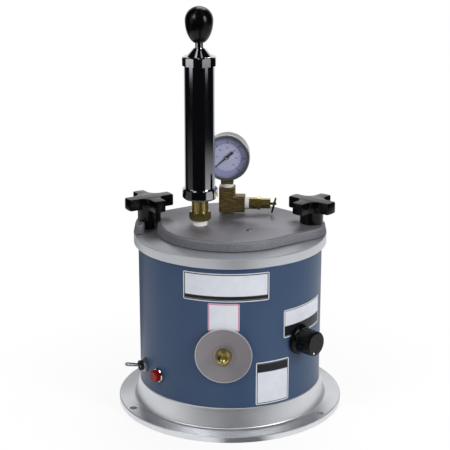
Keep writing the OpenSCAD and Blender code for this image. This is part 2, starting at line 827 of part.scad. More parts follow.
module lid() {
    slot_x = sqrt(pow(2 * stud_x + slot_half, 2) - pow(finger_y, 2)) - stud_x;
    color(grey) difference() {
        // the ears end flush with the rim below
        intersection() {
            translate([0, 0, lid_z]) cylinder(r1 = rim_r, r2 = rim_r - lid_draft, h = lid_t);
            union() {
                translate([0, 0, lid_z]) cylinder(r1 = lid_r, r2 = lid_r - lid_draft, h = lid_t);
                ear(1);
                // the left ear ends at the stud's line, apart from the fork's outer finger
                intersection() {
                    ear(-1);
                    translate([-2 * rim_r, 0, lid_z - eps])
                        cube([2 * rim_r, 2 * rim_r, lid_t + 2 * eps]);
                }
                translate([-2 * stud_x, finger_y, lid_z])
                    cube([stud_x, finger_back - finger_y, lid_t]);
                translate([finger_lap - slot_x - finger_r, finger_y, 0])
                    bar(finger_r, lid_z, lid_top);
            }
        }
        // the slot lies on an arc about the right stud, on which the lid swings
        translate([stud_x, 0, 0]) intersection() {
            ring(2 * stud_x + slot_half, 2 * stud_x - slot_half, lid_z - eps, lid_top + eps);
            translate([-3 * stud_x, -stud_x, lid_z - eps]) cube([2 * stud_x, stud_x, lid_t + 2 * eps]);
        }
        for (s = [-1, 1]) translate([s * stud_x, 0, 0])
            bar(ear_hole_r, lid_z - eps, lid_top + eps);
        translate([pump_x, pump_y, 0]) bar(lid_bore_r, lid_z - eps, lid_top + eps);
        translate([tee_x, tee_y, 0]) bar(tee_thread_r + fit, lid_z - eps, lid_top + eps);
        translate([plug_x, plug_y, 0]) bar(plug_r + fit, lid_z - eps, lid_top + eps);
    }
}

module lid_plug() {
    color(chrome) translate([plug_x, plug_y, 0]) difference() {
        bar(plug_r, lid_z + edge, lid_top - edge);
        hex_bar(plug_socket_w, lid_top - plug_socket_h, lid_top + eps);
    }
}

module at_pump() {
    translate([pump_x, pump_y, 0]) children();
}

module pump_tape() {
    color(white) at_pump()
        ring(adapter_thread_r + gap, adapter_thread_r + fit, lid_top + fit, adapter_z - fit);
}

module pump_adapter() {
    top = base_nut_z + adapter_in;
    color(brass) at_pump() difference() {
        union() {
            bar(adapter_thread_r, lid_z + edge, adapter_z + fit);
            intersection() {
                hex_bar(adapter_hex_w, adapter_z, neck_z);
                translate([0, 0, adapter_z]) cylinder(r1 = adapter_hex_w / 2 + fit,
                    r2 = adapter_hex_w / 2 + adapter_hex_h, h = adapter_hex_h);
                translate([0, 0, adapter_z]) cylinder(r1 = adapter_hex_w / 2 + adapter_hex_h,
                    r2 = adapter_hex_w / 2 + fit, h = adapter_hex_h);
            }
            bar(adapter_neck_r, neck_z - edge, top);
        }
        bar(check_way_r, adapter_z, neck_z);
        bar(ball_seat_r, lid_z, top + eps);
    }
}

module check_spring() {
    color(chrome) at_pump() spring(check_way_r - 2 * spring_wire_r, spring_wire_r / 2,
        adapter_z + fit, check_ball_z - ball_r / 2, 5);
}

module check_ball() {
    color(chrome) at_pump() translate([0, 0, check_ball_z - fit]) sphere(r = ball_r);
}

module pump_base_nut() {
    color(chrome) at_pump() difference() {
        rotate_extrude() polygon([[0, base_nut_z], [base_nut_r - base_nut_edge, base_nut_z],
            [base_nut_r, base_nut_z + base_nut_edge], [base_nut_r, tube_z - base_nut_edge / 2],
            [base_nut_r - base_nut_edge / 2, tube_z], [0, tube_z]]);
        bar(adapter_neck_r + fit, base_nut_z - eps, base_nut_z + adapter_in);
        bar(ball_seat_r, base_nut_z, tube_z);
        bar(tube_r + fit, base_nut_z + nut_floor, tube_z + eps);
    }
}

module pump_tube() {
    color(chrome) at_pump()
        ring(tube_r, tube_in_r, base_nut_z + nut_floor + fit, cone_z - nut_floor - fit);
}

module pump_cap() {
    color(chrome) at_pump() difference() {
        union() {
            intersection() {
                translate([0, 0, cap_z]) rotate([0, 0, 180 / cap_flats])
                    cylinder(r = cap_r, h = cap_h, $fn = cap_flats);
                translate([0, 0, cap_z]) cylinder(r1 = cap_r + cap_h,
                    r2 = cap_r * cos(180 / cap_flats) - edge, h = cap_h);
            }
            translate([0, 0, cone_z - fit]) cylinder(r1 = cone_r, r2 = cone_top_r, h = cone_h + fit);
        }
        bar(tube_r + fit, cap_z - eps, cone_z - nut_floor);
        bar(rod_r + fit, cap_z, rod_top + eps);
    }
}

module pump_rod() {
    color(chrome) at_pump() bar(rod_r, piston_z, grip_z + rod_in_grip);
}

module pump_piston() {
    color(bright) at_pump() difference() {
        bar(piston_r, piston_z, piston_z + piston_h);
        bar(rod_r + fit, piston_z - eps, piston_z + piston_h + eps);
    }
}

module piston_cup() {
    color(black) at_pump() difference() {
        bar(piston_r, piston_z - cup_h, piston_z);
        bar(piston_r - cup_t, piston_z - cup_h - eps, piston_z - cup_t);
    }
}

// The grip is an egg: one half ellipse below its widest level and a flatter one above
module pump_grip() {
    bulge = grip_h * grip_low_share;
    lower = [for (i = [0 : 12]) let (q = (12 - i) / 12 / grip_long_share)
        [grip_r * sqrt(1 - q * q), grip_z + bulge * i / 12]];
    upper = [for (i = [1 : 12]) let (a = 90 * i / 12)
        [grip_r * cos(a), grip_z + bulge + (grip_h - bulge) * sin(a)]];
    color(black) at_pump() difference() {
        rotate_extrude() polygon(concat([[0, grip_z]], lower, upper));
        bar(rod_r + fit / 2, grip_z - eps, grip_z + rod_in_grip);
    }
}

module at_tee() {
    translate([tee_x, tee_y, 0]) children();
}

module fitting_tape() {
    color(white) {
        at_tee() ring(tape_r, tee_thread_r + fit, lid_top + fit, tee_z - fit);
        at_tee() ring(tape_r, gauge_thread_r + fit, tee_top + fit, tee_top + gauge_tape_h - fit);
        at_relief() ring(tape_r - edge, relief_thread_r + fit, branch_x + fit, relief_x - fit);
    }
}

module gauge_tee() {
    half = tee_w / 2;
    color(dull_brass) difference() {
        union() {
            // the upright body, its upper end turned
            at_tee() intersection() {
                translate([-half, -tee_d / 2, tee_z]) cube([tee_w, tee_d, tee_h]);
                bar(tee_corner, tee_z - eps, tee_top + eps);
            }
            // the side branch, its end turned
            intersection() {
                translate([tee_x, tee_y - tee_d / 2, tee_z]) cube([branch_x - tee_x, tee_d, branch_h]);
                at_relief() bar(tee_corner, tee_x, branch_x);
            }
            at_tee() bar(tee_thread_r, lid_z + edge, tee_z + edge);
        }
        at_tee() bar(tee_way_r, lid_z, branch_z);
        at_tee() bar(gauge_thread_r + fit, tee_top - tee_thread_r, tee_top + eps);
        at_tee() bar(branch_way_r, lid_z, tee_top);
        at_relief() bar(relief_thread_r + fit, branch_x - tee_thread_r, branch_x + eps);
        at_relief() bar(branch_way_r, tee_x, branch_x);
    }
}

module gauge_stem() {
    hex_z = tee_top + gauge_tape_h;
    hex_top = gauge_z - sqrt(pow(case_r, 2) - pow(gauge_hex_w / 2, 2)) + case_wall / 2;
    color(dull_brass) difference() {
        union() {
            at_tee() bar(gauge_thread_r, tee_top - tee_thread_r + fit, hex_z + eps);
            at_tee() translate([-gauge_hex_w / 2, -gauge_hex_w / 2, hex_z])
                cube([gauge_hex_w, gauge_hex_w, hex_top - hex_z]);
        }
        at_tee() bar(gauge_way_r, tee_top - tee_thread_r, hex_top + eps);
        at_gauge() bar(case_r + fit, 0, gauge_d + eps);
    }
}

// Places its children on the gauge's axis, their +Z pointing to the back
module at_gauge() {
    translate([tee_x, gauge_y, gauge_z]) rotate([-90, 0, 0]) children();
}

module gauge_case() {
    color(chrome) at_gauge() difference() {
        bar(case_r, gauge_ring_t / 2, gauge_d);
        bar(case_r - case_wall, gauge_ring_t / 2 - eps, gauge_d - case_wall);
    }
}

module gauge_bezel() {
    color(chrome) at_gauge() rotate_extrude() polygon([
        [gauge_r - gauge_ring_w, 0], [gauge_r - edge, 0], [gauge_r, edge], [gauge_r, gauge_ring_t],
        [case_r + fit, gauge_ring_t], [case_r + fit, gauge_ring_t / 2 - fit],
        [case_r - case_wall, gauge_ring_t / 2 - fit], [case_r - case_wall, edge],
        [gauge_r - gauge_ring_w, edge]]);
}

module gauge_window() {
    color("#e8f0f4", 0.35) at_gauge() bar(case_r - case_wall - fit, edge + fit, edge + glass_t);
}

module gauge_dial() {
    color(white) at_gauge() difference() {
        bar(case_r - case_wall - fit, gauge_ring_t, gauge_ring_t + dial_plate_t);
        bar(needle_pin_r + fit, gauge_ring_t - eps, gauge_ring_t + dial_plate_t + eps);
    }
}

module gauge_pointer() {
    front = gauge_ring_t - needle_gap - needle_t;
    color(black) at_gauge() {
        // seen from the front, the dial's directions run the other way round the axis
        translate([0, 0, front]) rotate([0, 0, -needle_zero]) linear_extrude(needle_t) {
            polygon([[0, -needle_w], [needle_l, -needle_w / 4], [needle_l, needle_w / 4], [0, needle_w]]);
            polygon([[0, -needle_w], [0, needle_w], [-needle_tail, needle_tail_w],
                [-needle_tail, -needle_tail_w]]);
            circle(r = needle_hub_r);
        }
        bar(needle_pin_r, front, gauge_ring_t + dial_plate_t + needle_gap);
    }
}

// Places its children on the relief valve's axis, their +Z pointing to the right
module at_relief() {
    translate([0, tee_y, branch_z]) rotate([0, 90, 0]) children();
}

module relief_valve_body() {
    color(brass) at_relief() difference() {
        union() {
            bar(relief_thread_r, branch_x - tee_thread_r + fit, relief_x + eps);
            bar(relief_mid_r, relief_mid_x - relief_mid_w / 2, relief_mid_x + relief_mid_w / 2);
            // a corner of the hexagon faces the front
            rotate([0, 0, 30]) hex_bar(2 * relief_r, relief_x, relief_mid_x);
            rotate([0, 0, 30]) hex_bar(2 * relief_end_r, relief_mid_x, relief_end);
        }
        bar(branch_way_r, branch_x - tee_thread_r, relief_x);
        bar(relief_bore_r, relief_x - eps, relief_end - relief_wall);
        bar(stem_r + fit, relief_x, relief_end + eps);
        // the vents, through the hexagon's lower flats in front and behind
        translate([0, 0, relief_x + relief_l * relief_vent_share]) for (a = [-60, 60])
            rotate([0, 0, a]) rotate([0, 90, 0]) bar(relief_vent_r, 0, relief_mid_r + eps);
    }
}

module relief_stem() {
    color(brass) difference() {
        at_relief() {
            bar(stem_r, stem_head_x, relief_end + stem_out);
            bar(stem_head_r, stem_head_x, stem_head_x + stem_head_t);
        }
        translate([ring_x, tee_y, branch_z]) rotate([0, ring_lean, 0])
            bar(ring_hole_r, -2 * stem_r, 2 * stem_r);
    }
}

module relief_spring() {
    color(chrome) at_relief() spring((relief_bore_r + stem_r) / 2, spring_wire_r,
        stem_head_x + stem_head_t + fit, relief_end - relief_wall - fit, 6);
}

// The ring hangs through the stem's hole and lies towards the front
module pull_ring() {
    color(chrome) translate([ring_x, tee_y, branch_z]) rotate([0, ring_lean, 0])
        translate([0, -ring_r, 0]) rotate([0, 90, 0])
        rotate_extrude() translate([ring_r, 0]) circle(r = ring_wire_r, $fn = 24);
}

base_flange();
bottom_cover();
cover_screws();
outer_shell();
wax_tank();
lid_gasket();
heater_band();
insulation_blanket();
tie_rods();
tie_nuts();
thermostat_body();
switch_body();
switch_nut();
lamp_body();
lamp_bezel();
lamp_lens();
valve_body();
nozzle_spring();
nozzle_disc();
cable_gland();
gland_nut();
clamp_studs();
nozzle();
switch_lever();
temperature_knob();
thermostat_shaft();
knob_insert(-1);  // left_knob_insert
clamp_knob(-1, 35);  // left_knob
knob_insert(1);  // right_knob_insert
clamp_knob(1, 54);  // right_knob
lid();
lid_plug();
pump_tape();
pump_adapter();
check_spring();
check_ball();
pump_base_nut();
pump_tube();
pump_cap();
fitting_tape();
gauge_tee();
gauge_stem();
gauge_case();
gauge_bezel();
gauge_dial();
gauge_window();
relief_valve_body();
relief_spring();
relief_stem();
pull_ring();
gauge_pointer();
pump_rod();
pump_piston();
piston_cup();
pump_grip();
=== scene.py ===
"""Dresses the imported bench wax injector: finishes for its solids, and the pieces that only show.

Everything is in metres in the part's own frame: +Z up, the nozzle facing -Y.
"""
import json
from math import atan2, cos, pi, radians, sin

import bmesh
import bpy
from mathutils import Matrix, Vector

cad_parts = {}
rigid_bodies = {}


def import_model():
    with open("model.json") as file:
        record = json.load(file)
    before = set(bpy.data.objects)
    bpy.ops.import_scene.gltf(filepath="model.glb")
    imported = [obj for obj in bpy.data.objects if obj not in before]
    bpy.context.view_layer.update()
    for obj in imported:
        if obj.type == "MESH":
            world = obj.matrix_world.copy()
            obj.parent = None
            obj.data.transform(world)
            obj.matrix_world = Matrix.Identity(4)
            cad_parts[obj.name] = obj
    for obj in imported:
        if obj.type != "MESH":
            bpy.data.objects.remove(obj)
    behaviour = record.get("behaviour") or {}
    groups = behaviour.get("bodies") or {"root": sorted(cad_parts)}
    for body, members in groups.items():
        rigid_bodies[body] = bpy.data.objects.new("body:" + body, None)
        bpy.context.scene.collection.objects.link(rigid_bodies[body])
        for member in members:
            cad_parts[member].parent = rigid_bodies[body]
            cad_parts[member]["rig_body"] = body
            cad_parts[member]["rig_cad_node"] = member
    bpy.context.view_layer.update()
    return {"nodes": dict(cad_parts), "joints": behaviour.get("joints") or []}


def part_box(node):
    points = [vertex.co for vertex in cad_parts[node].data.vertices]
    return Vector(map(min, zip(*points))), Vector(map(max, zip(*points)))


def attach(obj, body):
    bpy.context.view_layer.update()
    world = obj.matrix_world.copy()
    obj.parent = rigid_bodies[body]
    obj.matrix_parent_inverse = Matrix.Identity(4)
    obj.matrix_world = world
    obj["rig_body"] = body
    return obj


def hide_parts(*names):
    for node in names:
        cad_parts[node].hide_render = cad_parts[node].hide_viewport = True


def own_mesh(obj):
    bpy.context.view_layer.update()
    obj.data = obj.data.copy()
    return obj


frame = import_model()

bl_info = {
    "name": "Bench wax injector",
    "version": (1, 0, 0),
    "blender": (4, 5, 0),
    "location": "View3D > Sidebar > Injector",
    "description": "Finishes and trim for a hand-pumped wax injector",
    "category": "Object",
}

MM = 0.001
# points closer than this are merged, and places closer than this count as the same
WELD = 0.002 * MM
NEAR = 0.05 * MM
NODES = frame["nodes"]


def middle(node):
    """The middle of a CAD node's box at rest."""
    low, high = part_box(node)
    return (low + high) / 2


def half_width(node):
    """Half the width along X of a CAD node's box at rest."""
    low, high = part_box(node)
    return (high.x - low.x) / 2


def facing(bearing):
    """The way out from the pot's axis at a bearing, in degrees to the right of the nozzle."""
    return Vector((sin(radians(bearing)), -cos(radians(bearing)), 0))


def turn_of(point):
    """A point's turn round Z from +X, in radians."""
    return atan2(point.y, point.x)


GAUGE = middle("gauge_dial")
RIM_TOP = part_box("wax_tank")[1].z
LID_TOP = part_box("lid")[1].z
SHELL_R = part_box("outer_shell")[1].x


def linear(code):
    """A colour written as sRGB hex, as the linear RGBA that Blender takes."""
    parts = [int(code[i:i + 2], 16) / 255 for i in (1, 3, 5)]
    return [p / 12.92 if p <= 0.04045 else ((p + 0.055) / 1.055) ** 2.4 for p in parts] + [1.0]


def add(tree, kind, links=None, **settings):
    """Adds a shader node; links gives an input's name a value or another node's output."""
    made = tree.nodes.new("ShaderNode" + kind)
    for name, value in settings.items():
        setattr(made, name, value)
    for name, value in (links or {}).items():
        if isinstance(value, bpy.types.NodeSocket):
            tree.links.new(value, made.inputs[name])
        else:
            made.inputs[name].default_value = value
    return made


def new_finish(name, **numbers):
    """A material with a Principled shader whose plain numbers are set."""
    made = bpy.data.materials.new(name)
    made.use_nodes = True
    tree = made.node_tree
    tree.nodes.clear()
    shader = add(tree, "BsdfPrincipled", {k.replace("_", " "): v for k, v in numbers.items()})
    add(tree, "OutputMaterial", {"Surface": shader.outputs["BSDF"]})
    return made, tree, shader


def surface(tree, shader, colour, roughness=None):
    """Gives the shader its colour and, where it varies, its roughness."""
    tree.links.new(colour, shader.inputs["Base Color"])
    if roughness is not None:
        tree.links.new(roughness, shader.inputs["Roughness"])


def place_of(tree):
    """Object coordinates, in metres."""
    return add(tree, "TexCoord").outputs["Object"]


def blend_colours(tree, factor, first, second):
    """The first colour where the factor is 0, and the second where it is 1."""
    first, second = (linear(c) if isinstance(c, str) else c for c in (first, second))
    made = add(tree, "Mix", {"Factor": factor, 6: first, 7: second}, data_type="RGBA")
    return made.outputs[2]


def between(tree, value, low, high, out_low=0.0, out_high=1.0):
    """Maps low..high onto out_low..out_high, held at the ends."""
    made = add(tree, "MapRange", {"Value": value, "From Min": low, "From Max": high,
                                  "To Min": out_low, "To Max": out_high})
    return made.outputs["Result"]


def spread(tree, noise, low=0.0, high=1.0):
    """Maps a noise, most of which lies within 0.3..0.7, onto low..high."""
    return between(tree, noise, 0.3, 0.7, low, high)


def turn_round_z(tree, way):
    """The turn of a way round Z, from the front to the right, in radians."""
    parts = add(tree, "SeparateXYZ", {0: way}).outputs
    ahead = add(tree, "Math", {0: parts["Y"], 1: -1.0}, operation="MULTIPLY")
    turn = add(tree, "Math", {0: parts["X"], 1: ahead.outputs[0]}, operation="ARCTAN2")
    return turn.outputs[0]


def sector(tree, turn, centre, half, peak=1.0):
    """The peak within half of a centre, in degrees, fading to 0 at 1.15 times that."""
    off = add(tree, "Math", {0: turn, 1: radians(centre)}, operation="SUBTRACT")
    far = add(tree, "Math", {0: off.outputs[0]}, operation="ABSOLUTE")
    edge = radians(half)
    return between(tree, far.outputs[0], edge, edge * 1.15, peak, 0.0)


def bumps(tree, shader, height, depth, strength=1.0):
    """Gives the shader a relief of the given depth, in metres."""
    made = add(tree, "Bump", {"Height": height, "Distance": depth, "Strength": strength})
    tree.links.new(made.outputs["Normal"], shader.inputs["Normal"])


def turned_rings(tree, centre, spacing, along=(0, 0, 1)):
    """Lathe marks about an axis through centre, 0..1, and the distance from that axis.

    The marks change over the spacing, in metres. A tool's real marks are 0.1 to 0.3 mm apart,
    and the spacings asked for here are wider, so that they show.
    """
    off = add(tree, "VectorMath", {0: place_of(tree), 1: centre}, operation="SUBTRACT")
    depth = add(tree, "VectorMath", {0: off.outputs[0], 1: along}, operation="DOT_PRODUCT")
    far = add(tree, "VectorMath", {0: off.outputs[0], 1: along}, operation="CROSS_PRODUCT")
    radius = add(tree, "VectorMath", {0: far.outputs[0]}, operation="LENGTH")
    both = add(tree, "Math", {0: radius.outputs["Value"], 1: depth.outputs["Value"]},
               operation="ADD")
    marks = add(tree, "TexNoise", {"W": both.outputs[0], "Scale": 1 / spacing, "Detail": 3.0},
                noise_dimensions="1D")
    return marks.outputs["Fac"], radius.outputs["Value"]


def grain(tree, size, detail=3.0, stretch=(1, 1, 1), turn=(0, 0, 0)):
    """Random grain of about the given size, in metres: 0..1."""
    laid = add(tree, "Mapping", {"Vector": place_of(tree), "Scale": stretch, "Rotation": turn})
    made = add(tree, "TexNoise", {"Vector": laid.outputs[0], "Scale": 1 / size, "Detail": detail})
    return made.outputs["Fac"]


def faces_up(tree):
    """1 on faces that look up, 0 on upright ones, by the upward share of their normal."""
    split = add(tree, "SeparateXYZ", {0: add(tree, "NewGeometry").outputs["Normal"]})
    return between(tree, split.outputs["Z"], 0.6, 0.9)


def level(tree):
    """The height above the floor, in metres."""
    return add(tree, "SeparateXYZ", {0: place_of(tree)}).outputs["Z"]


def lathe_turned(tree, shader):
    """Stretches the highlights across lathe marks about the pot's axis."""
    circles = add(tree, "Tangent", direction_type="RADIAL", axis="Z")
    tree.links.new(circles.outputs[0], shader.inputs["Tangent"])


# Grit, specks and crystal clouds are finer than this in real metal and plastic. They are drawn
# as coarse as they need to be to show in the render.


def turned_aluminium():
    """Turned 6061 aluminium, left bright: fine lathe marks that stretch the light upright."""
    made, tree, shader = new_finish("turned_aluminium", Metallic=0.9, Anisotropic=0.8)
    marks, _ = turned_rings(tree, (0, 0, 0), 1.6 * MM)
    cloud = grain(tree, 30 * MM)
    # painted light: the upright faces get a lighter colour than the tops, standing in for the
    # light that falls on them
    side = blend_colours(tree, cloud, "#d2d4d8", "#e4e6e8")
    top = blend_colours(tree, cloud, "#b4b6ba", "#cacccf")
    surface(tree, shader, blend_colours(tree, faces_up(tree), side, top),
            spread(tree, marks, 0.3, 0.38))
    lathe_turned(tree, shader)
    bumps(tree, shader, marks, 0.008 * MM, 0.4)
    return made


def machined_rim():
    """The pot's machined casting, faced on top and turned on its side, with painted light: a
    darker grey top, a lighter side, and a painted highlight along the side's top edge.
    """
    made, tree, shader = new_finish("machined_rim", Metallic=0.85, Anisotropic=0.5)
    marks, _ = turned_rings(tree, (0, 0, 0), 1.2 * MM)
    # painted light: the top is given a darker grey than the side, as the light fell on them
    top = blend_colours(tree, marks, "#a8a9af", "#c2c3c9")
    side = blend_colours(tree, marks, "#d0d3d8", "#e4e6ea")
    # painted highlight: a near-white line along the top of the side, where light catches the edge
    edge = between(tree, level(tree), RIM_TOP - 1.6 * MM, RIM_TOP - 0.5 * MM, 0.0, 0.9)
    wear_and_highlight = blend_colours(tree, edge, side, "#e6e6e9")
    surface(tree, shader, blend_colours(tree, faces_up(tree), wear_and_highlight, top),
            spread(tree, marks, 0.34, 0.44))
    lathe_turned(tree, shader)
    bumps(tree, shader, marks, 0.008 * MM, 0.4)
    return made


def sand_cast_aluminium():
    """Sand-cast aluminium: a dull faced top with faint turning marks, and a pitted edge."""
    made, tree, shader = new_finish("sand_cast_aluminium", Metallic=0.6, Anisotropic=0.7,
                                    Specular_IOR_Level=0.25)
    up = faces_up(tree)
    # the top was faced a little off the pot's axis
    marks, _ = turned_rings(tree, (6 * MM, -4 * MM, 0), 1.8 * MM)
    cloud = grain(tree, 34 * MM, 2.0)
    fine = grain(tree, 0.9 * MM, 5.0)
    pits = add(tree, "TexVoronoi", {"Vector": place_of(tree), "Scale": 1 / (3.2 * MM)})
    pitted = between(tree, pits.outputs["Distance"], 0.04, 0.3)
    shade = add(tree, "Mix", {"Factor": 0.35, 2: cloud, 3: marks}, data_type="FLOAT")
    top = blend_colours(tree, spread(tree, shade.outputs[0]), "#747378", "#8b898f")
    side = blend_colours(tree, spread(tree, fine), "#68696f", "#8a8b90")
    faced = between(tree, cloud, 0.35, 0.65, 0.4, 0.52)
    cast = spread(tree, fine, 0.5, 0.64)
    gloss = add(tree, "Mix", {"Factor": up, 2: cast, 3: faced}, data_type="FLOAT")
    surface(tree, shader, blend_colours(tree, up, side, top), gloss.outputs[0])
    lathe_turned(tree, shader)
    rough = add(tree, "Math", {0: fine, 1: pitted}, operation="MULTIPLY")
    height = add(tree, "Mix", {"Factor": up, 2: rough.outputs[0], 3: marks}, data_type="FLOAT")
    bumps(tree, shader, height.outputs[0], 0.1 * MM, 0.3)
    return made


def faced_disc():
    """The nozzle's stamped aluminium disc: dull, rubbed by moulds, with a painted highlight round
    its rim.
    """
    made, tree, shader = new_finish("faced_disc", Metallic=0.8)
    marks, radius = turned_rings(tree, middle("nozzle_disc"), 1.2 * MM, along=(0, 1, 0))
    mould_rub = 12.5 * MM
    ring = add(tree, "Math", {0: radius, 1: mould_rub}, operation="SUBTRACT")
    near = add(tree, "Math", {0: ring.outputs[0]}, operation="ABSOLUTE")
    worn = between(tree, near.outputs[0], 0.2 * MM, 1.0 * MM, 0.3, 0.0)
    plain = blend_colours(tree, marks, "#938f93", "#a39fa3")
    wear_and_highlight = blend_colours(tree, worn, plain, "#6d6b6e")
    rim = half_width("nozzle_disc")
    # painted highlight: a near-white line just inside the disc's rim
    rim_highlight = between(tree, radius, rim - 0.9 * MM, rim - 0.4 * MM)
    surface(tree, shader, blend_colours(tree, rim_highlight, wear_and_highlight, "#dcdbe0"),
            spread(tree, grain(tree, 3 * MM), 0.44, 0.56))
    bumps(tree, shader, marks, 0.01 * MM, 0.4)
    return made


def slate_paint():
    """Stoved enamel on rolled sheet: a smooth satin coat with a slight orange peel."""
    made, tree, shader = new_finish("slate_paint", Coat_Weight=0.08, Coat_Roughness=0.2,
                                    Specular_IOR_Level=0.22)
    cloud = grain(tree, 45 * MM, 2.0)
    surface(tree, shader, blend_colours(tree, cloud, "#2e415d", "#374c68"),
            spread(tree, cloud, 0.38, 0.46))
    bumps(tree, shader, grain(tree, 1.6 * MM, 1.0), 0.01 * MM, 0.6)
    return made


def bright_chrome():
    """Chrome plate on polished steel: a mirror with the odd faint speck."""
    made, tree, shader = new_finish("bright_chrome", Metallic=1.0)
    specks = between(tree, grain(tree, 1.4 * MM, 2.0), 0.66, 0.74)
    surface(tree, shader, blend_colours(tree, specks, "#d9dade", "#b9bac0"),
            between(tree, specks, 0.0, 1.0, 0.05, 0.16))
    return made


def nickel_plate():
    """Bright nickel on small turned parts: warmer and softer than chrome."""
    made, tree, shader = new_finish("nickel_plate", Metallic=1.0)
    surface(tree, shader, blend_colours(tree, grain(tree, 2 * MM), "#cbc8c2", "#dedbd5"),
            spread(tree, grain(tree, 0.8 * MM), 0.1, 0.2))
    return made


def zinc_plated_steel():
    """Zinc-plated steel hardware: a satin grey with a faint crystal cloud."""
    made, tree, shader = new_finish("zinc_plated_steel", Metallic=1.0)
    surface(tree, shader, blend_colours(tree, grain(tree, 3 * MM), "#9b9da1", "#b6b8bb"),
            spread(tree, grain(tree, 1 * MM), 0.28, 0.42))
    return made


def black_oxide():
    """Blackened steel studs: nearly black, oily and low in gloss."""
    made, tree, shader = new_finish("black_oxide", Metallic=0.7)
    surface(tree, shader, blend_colours(tree, grain(tree, 1.5 * MM), "#131315", "#232326"),
            spread(tree, grain(tree, 0.6 * MM), 0.35, 0.55))
    return made


def turned_brass():
    """Free-turning brass, slightly dulled: olive yellow, with fine tool marks."""
    made, tree, shader = new_finish("turned_brass", Metallic=1.0)
    marks = grain(tree, 0.6 * MM, 2.0)
    surface(tree, shader, blend_colours(tree, grain(tree, 2.5 * MM), "#a89552", "#c6b674"),
            spread(tree, marks, 0.24, 0.36))
    bumps(tree, shader, marks, 0.01 * MM, 0.3)
    return made


def extruded_brass():
    """The tee's extruded brass: brown, with slanting saw and brush marks on its flats."""
    made, tree, shader = new_finish("extruded_brass", Metallic=0.6)
    scratches = grain(tree, 9 * MM, 4.0, stretch=(1, 1, 16), turn=(0, radians(-52), 0))
    cloud = grain(tree, 7 * MM)
    scratched = blend_colours(tree, between(tree, scratches, 0.5, 0.68), "#5e4f2e", "#b8a66c")
    dulled = between(tree, cloud, 0.4, 0.7, 0.0, 0.55)
    surface(tree, shader, blend_colours(tree, dulled, scratched, "#75643a"),
            spread(tree, scratches, 0.38, 0.52))
    bumps(tree, shader, scratches, 0.06 * MM, 0.5)
    return made


def phenolic():
    """Moulded black phenolic: deep black, with clear highlights and a slight flow ripple."""
    made, tree, shader = new_finish("phenolic", Specular_IOR_Level=0.2)
    ripple = grain(tree, 5 * MM, 1.0)
    surface(tree, shader, blend_colours(tree, ripple, "#040405", "#08080a"),
            spread(tree, ripple, 0.15, 0.22))
    bumps(tree, shader, ripple, 0.01 * MM, 0.3)
    return made


def black_nylon():
    """Moulded nylon fittings: black with a fine matte grain."""
    made, tree, shader = new_finish("black_nylon")
    fine = grain(tree, 0.5 * MM, 2.0)
    surface(tree, shader, blend_colours(tree, fine, "#101011", "#1c1c1e"),
            spread(tree, fine, 0.45, 0.6))
    bumps(tree, shader, fine, 0.02 * MM, 0.4)
    return made


def nitrile_rubber():
    """Black nitrile rubber: matte, slightly dusty."""
    made, tree, shader = new_finish("nitrile_rubber")
    dust = grain(tree, 1.2 * MM, 4.0)
    surface(tree, shader, blend_colours(tree, dust, "#131314", "#29292b"),
            spread(tree, dust, 0.62, 0.78))
    return made


def thread_tape():
    """PTFE thread tape: white and waxy, wound in thin overlapping edges."""
    made, tree, shader = new_finish("thread_tape", Subsurface_Weight=0.15)
    shader.inputs["Subsurface Radius"].default_value = (1 * MM, 1 * MM, 1 * MM)
    layers = grain(tree, 2.2 * MM, 3.0, stretch=(1, 1, 4))
    surface(tree, shader, blend_colours(tree, layers, "#d9d9d4", "#f4f4f0"),
            spread(tree, layers, 0.45, 0.6))
    bumps(tree, shader, layers, 0.15 * MM, 0.6)
    return made


def fibre_blanket():
    """Needled glass-fibre blanket: off-white, fibrous and quite matte."""
    made, tree, shader = new_finish("fibre_blanket", Roughness=0.95)
    fibres = grain(tree, 2.5 * MM, 6.0, stretch=(1, 1, 3))
    surface(tree, shader, blend_colours(tree, fibres, "#c9c6bc", "#eceae2"))
    bumps(tree, shader, fibres, 0.5 * MM, 0.7)
    return made


def drawn_steel():
    """The gauge's drawn steel case: dark grey and glossy, with rings from the drawing die."""
    made, tree, shader = new_finish("drawn_steel", Metallic=1.0)
    marks, _ = turned_rings(tree, GAUGE, 0.6 * MM, along=(0, 1, 0))
    surface(tree, shader, blend_colours(tree, marks, "#505156", "#6a6b70"),
            spread(tree, marks, 0.12, 0.2))
    return made


def printed_dial():
    """The gauge's dial: pale lavender enamel, with a darker band near its edge."""
    made, tree, shader = new_finish("printed_dial", Roughness=0.5)
    paper, radius = turned_rings(tree, GAUGE, 8 * MM, along=(0, 1, 0))
    band = between(tree, radius, 15.4 * MM, 16.2 * MM)
    pale = blend_colours(tree, paper, "#bec0e2", "#c8cae9")
    surface(tree, shader, blend_colours(tree, band, pale, "#9fa2cc"))
    return made


def clear_glass():
    """The gauge's flat window: clear glass."""
    made, tree, shader = new_finish("clear_glass", Roughness=0.03, IOR=1.45, Alpha=0.06)
    surface(tree, shader, blend_colours(tree, grain(tree, 20 * MM), "#8e939a", "#a5aab0"))
    made.surface_render_method = "BLENDED"
    return made


def print_black():
    """Black screen-printing ink."""
    made, tree, shader = new_finish("print_black", Roughness=0.5)
    surface(tree, shader, blend_colours(tree, grain(tree, 0.4 * MM), "#14161c", "#20222a"))
    return made


def print_white():
    """White filling paint in a mark."""
    made, tree, shader = new_finish("print_white", Roughness=0.5)
    surface(tree, shader, blend_colours(tree, grain(tree, 0.4 * MM), "#e9e9e6", "#fbfbfa"))
    return made


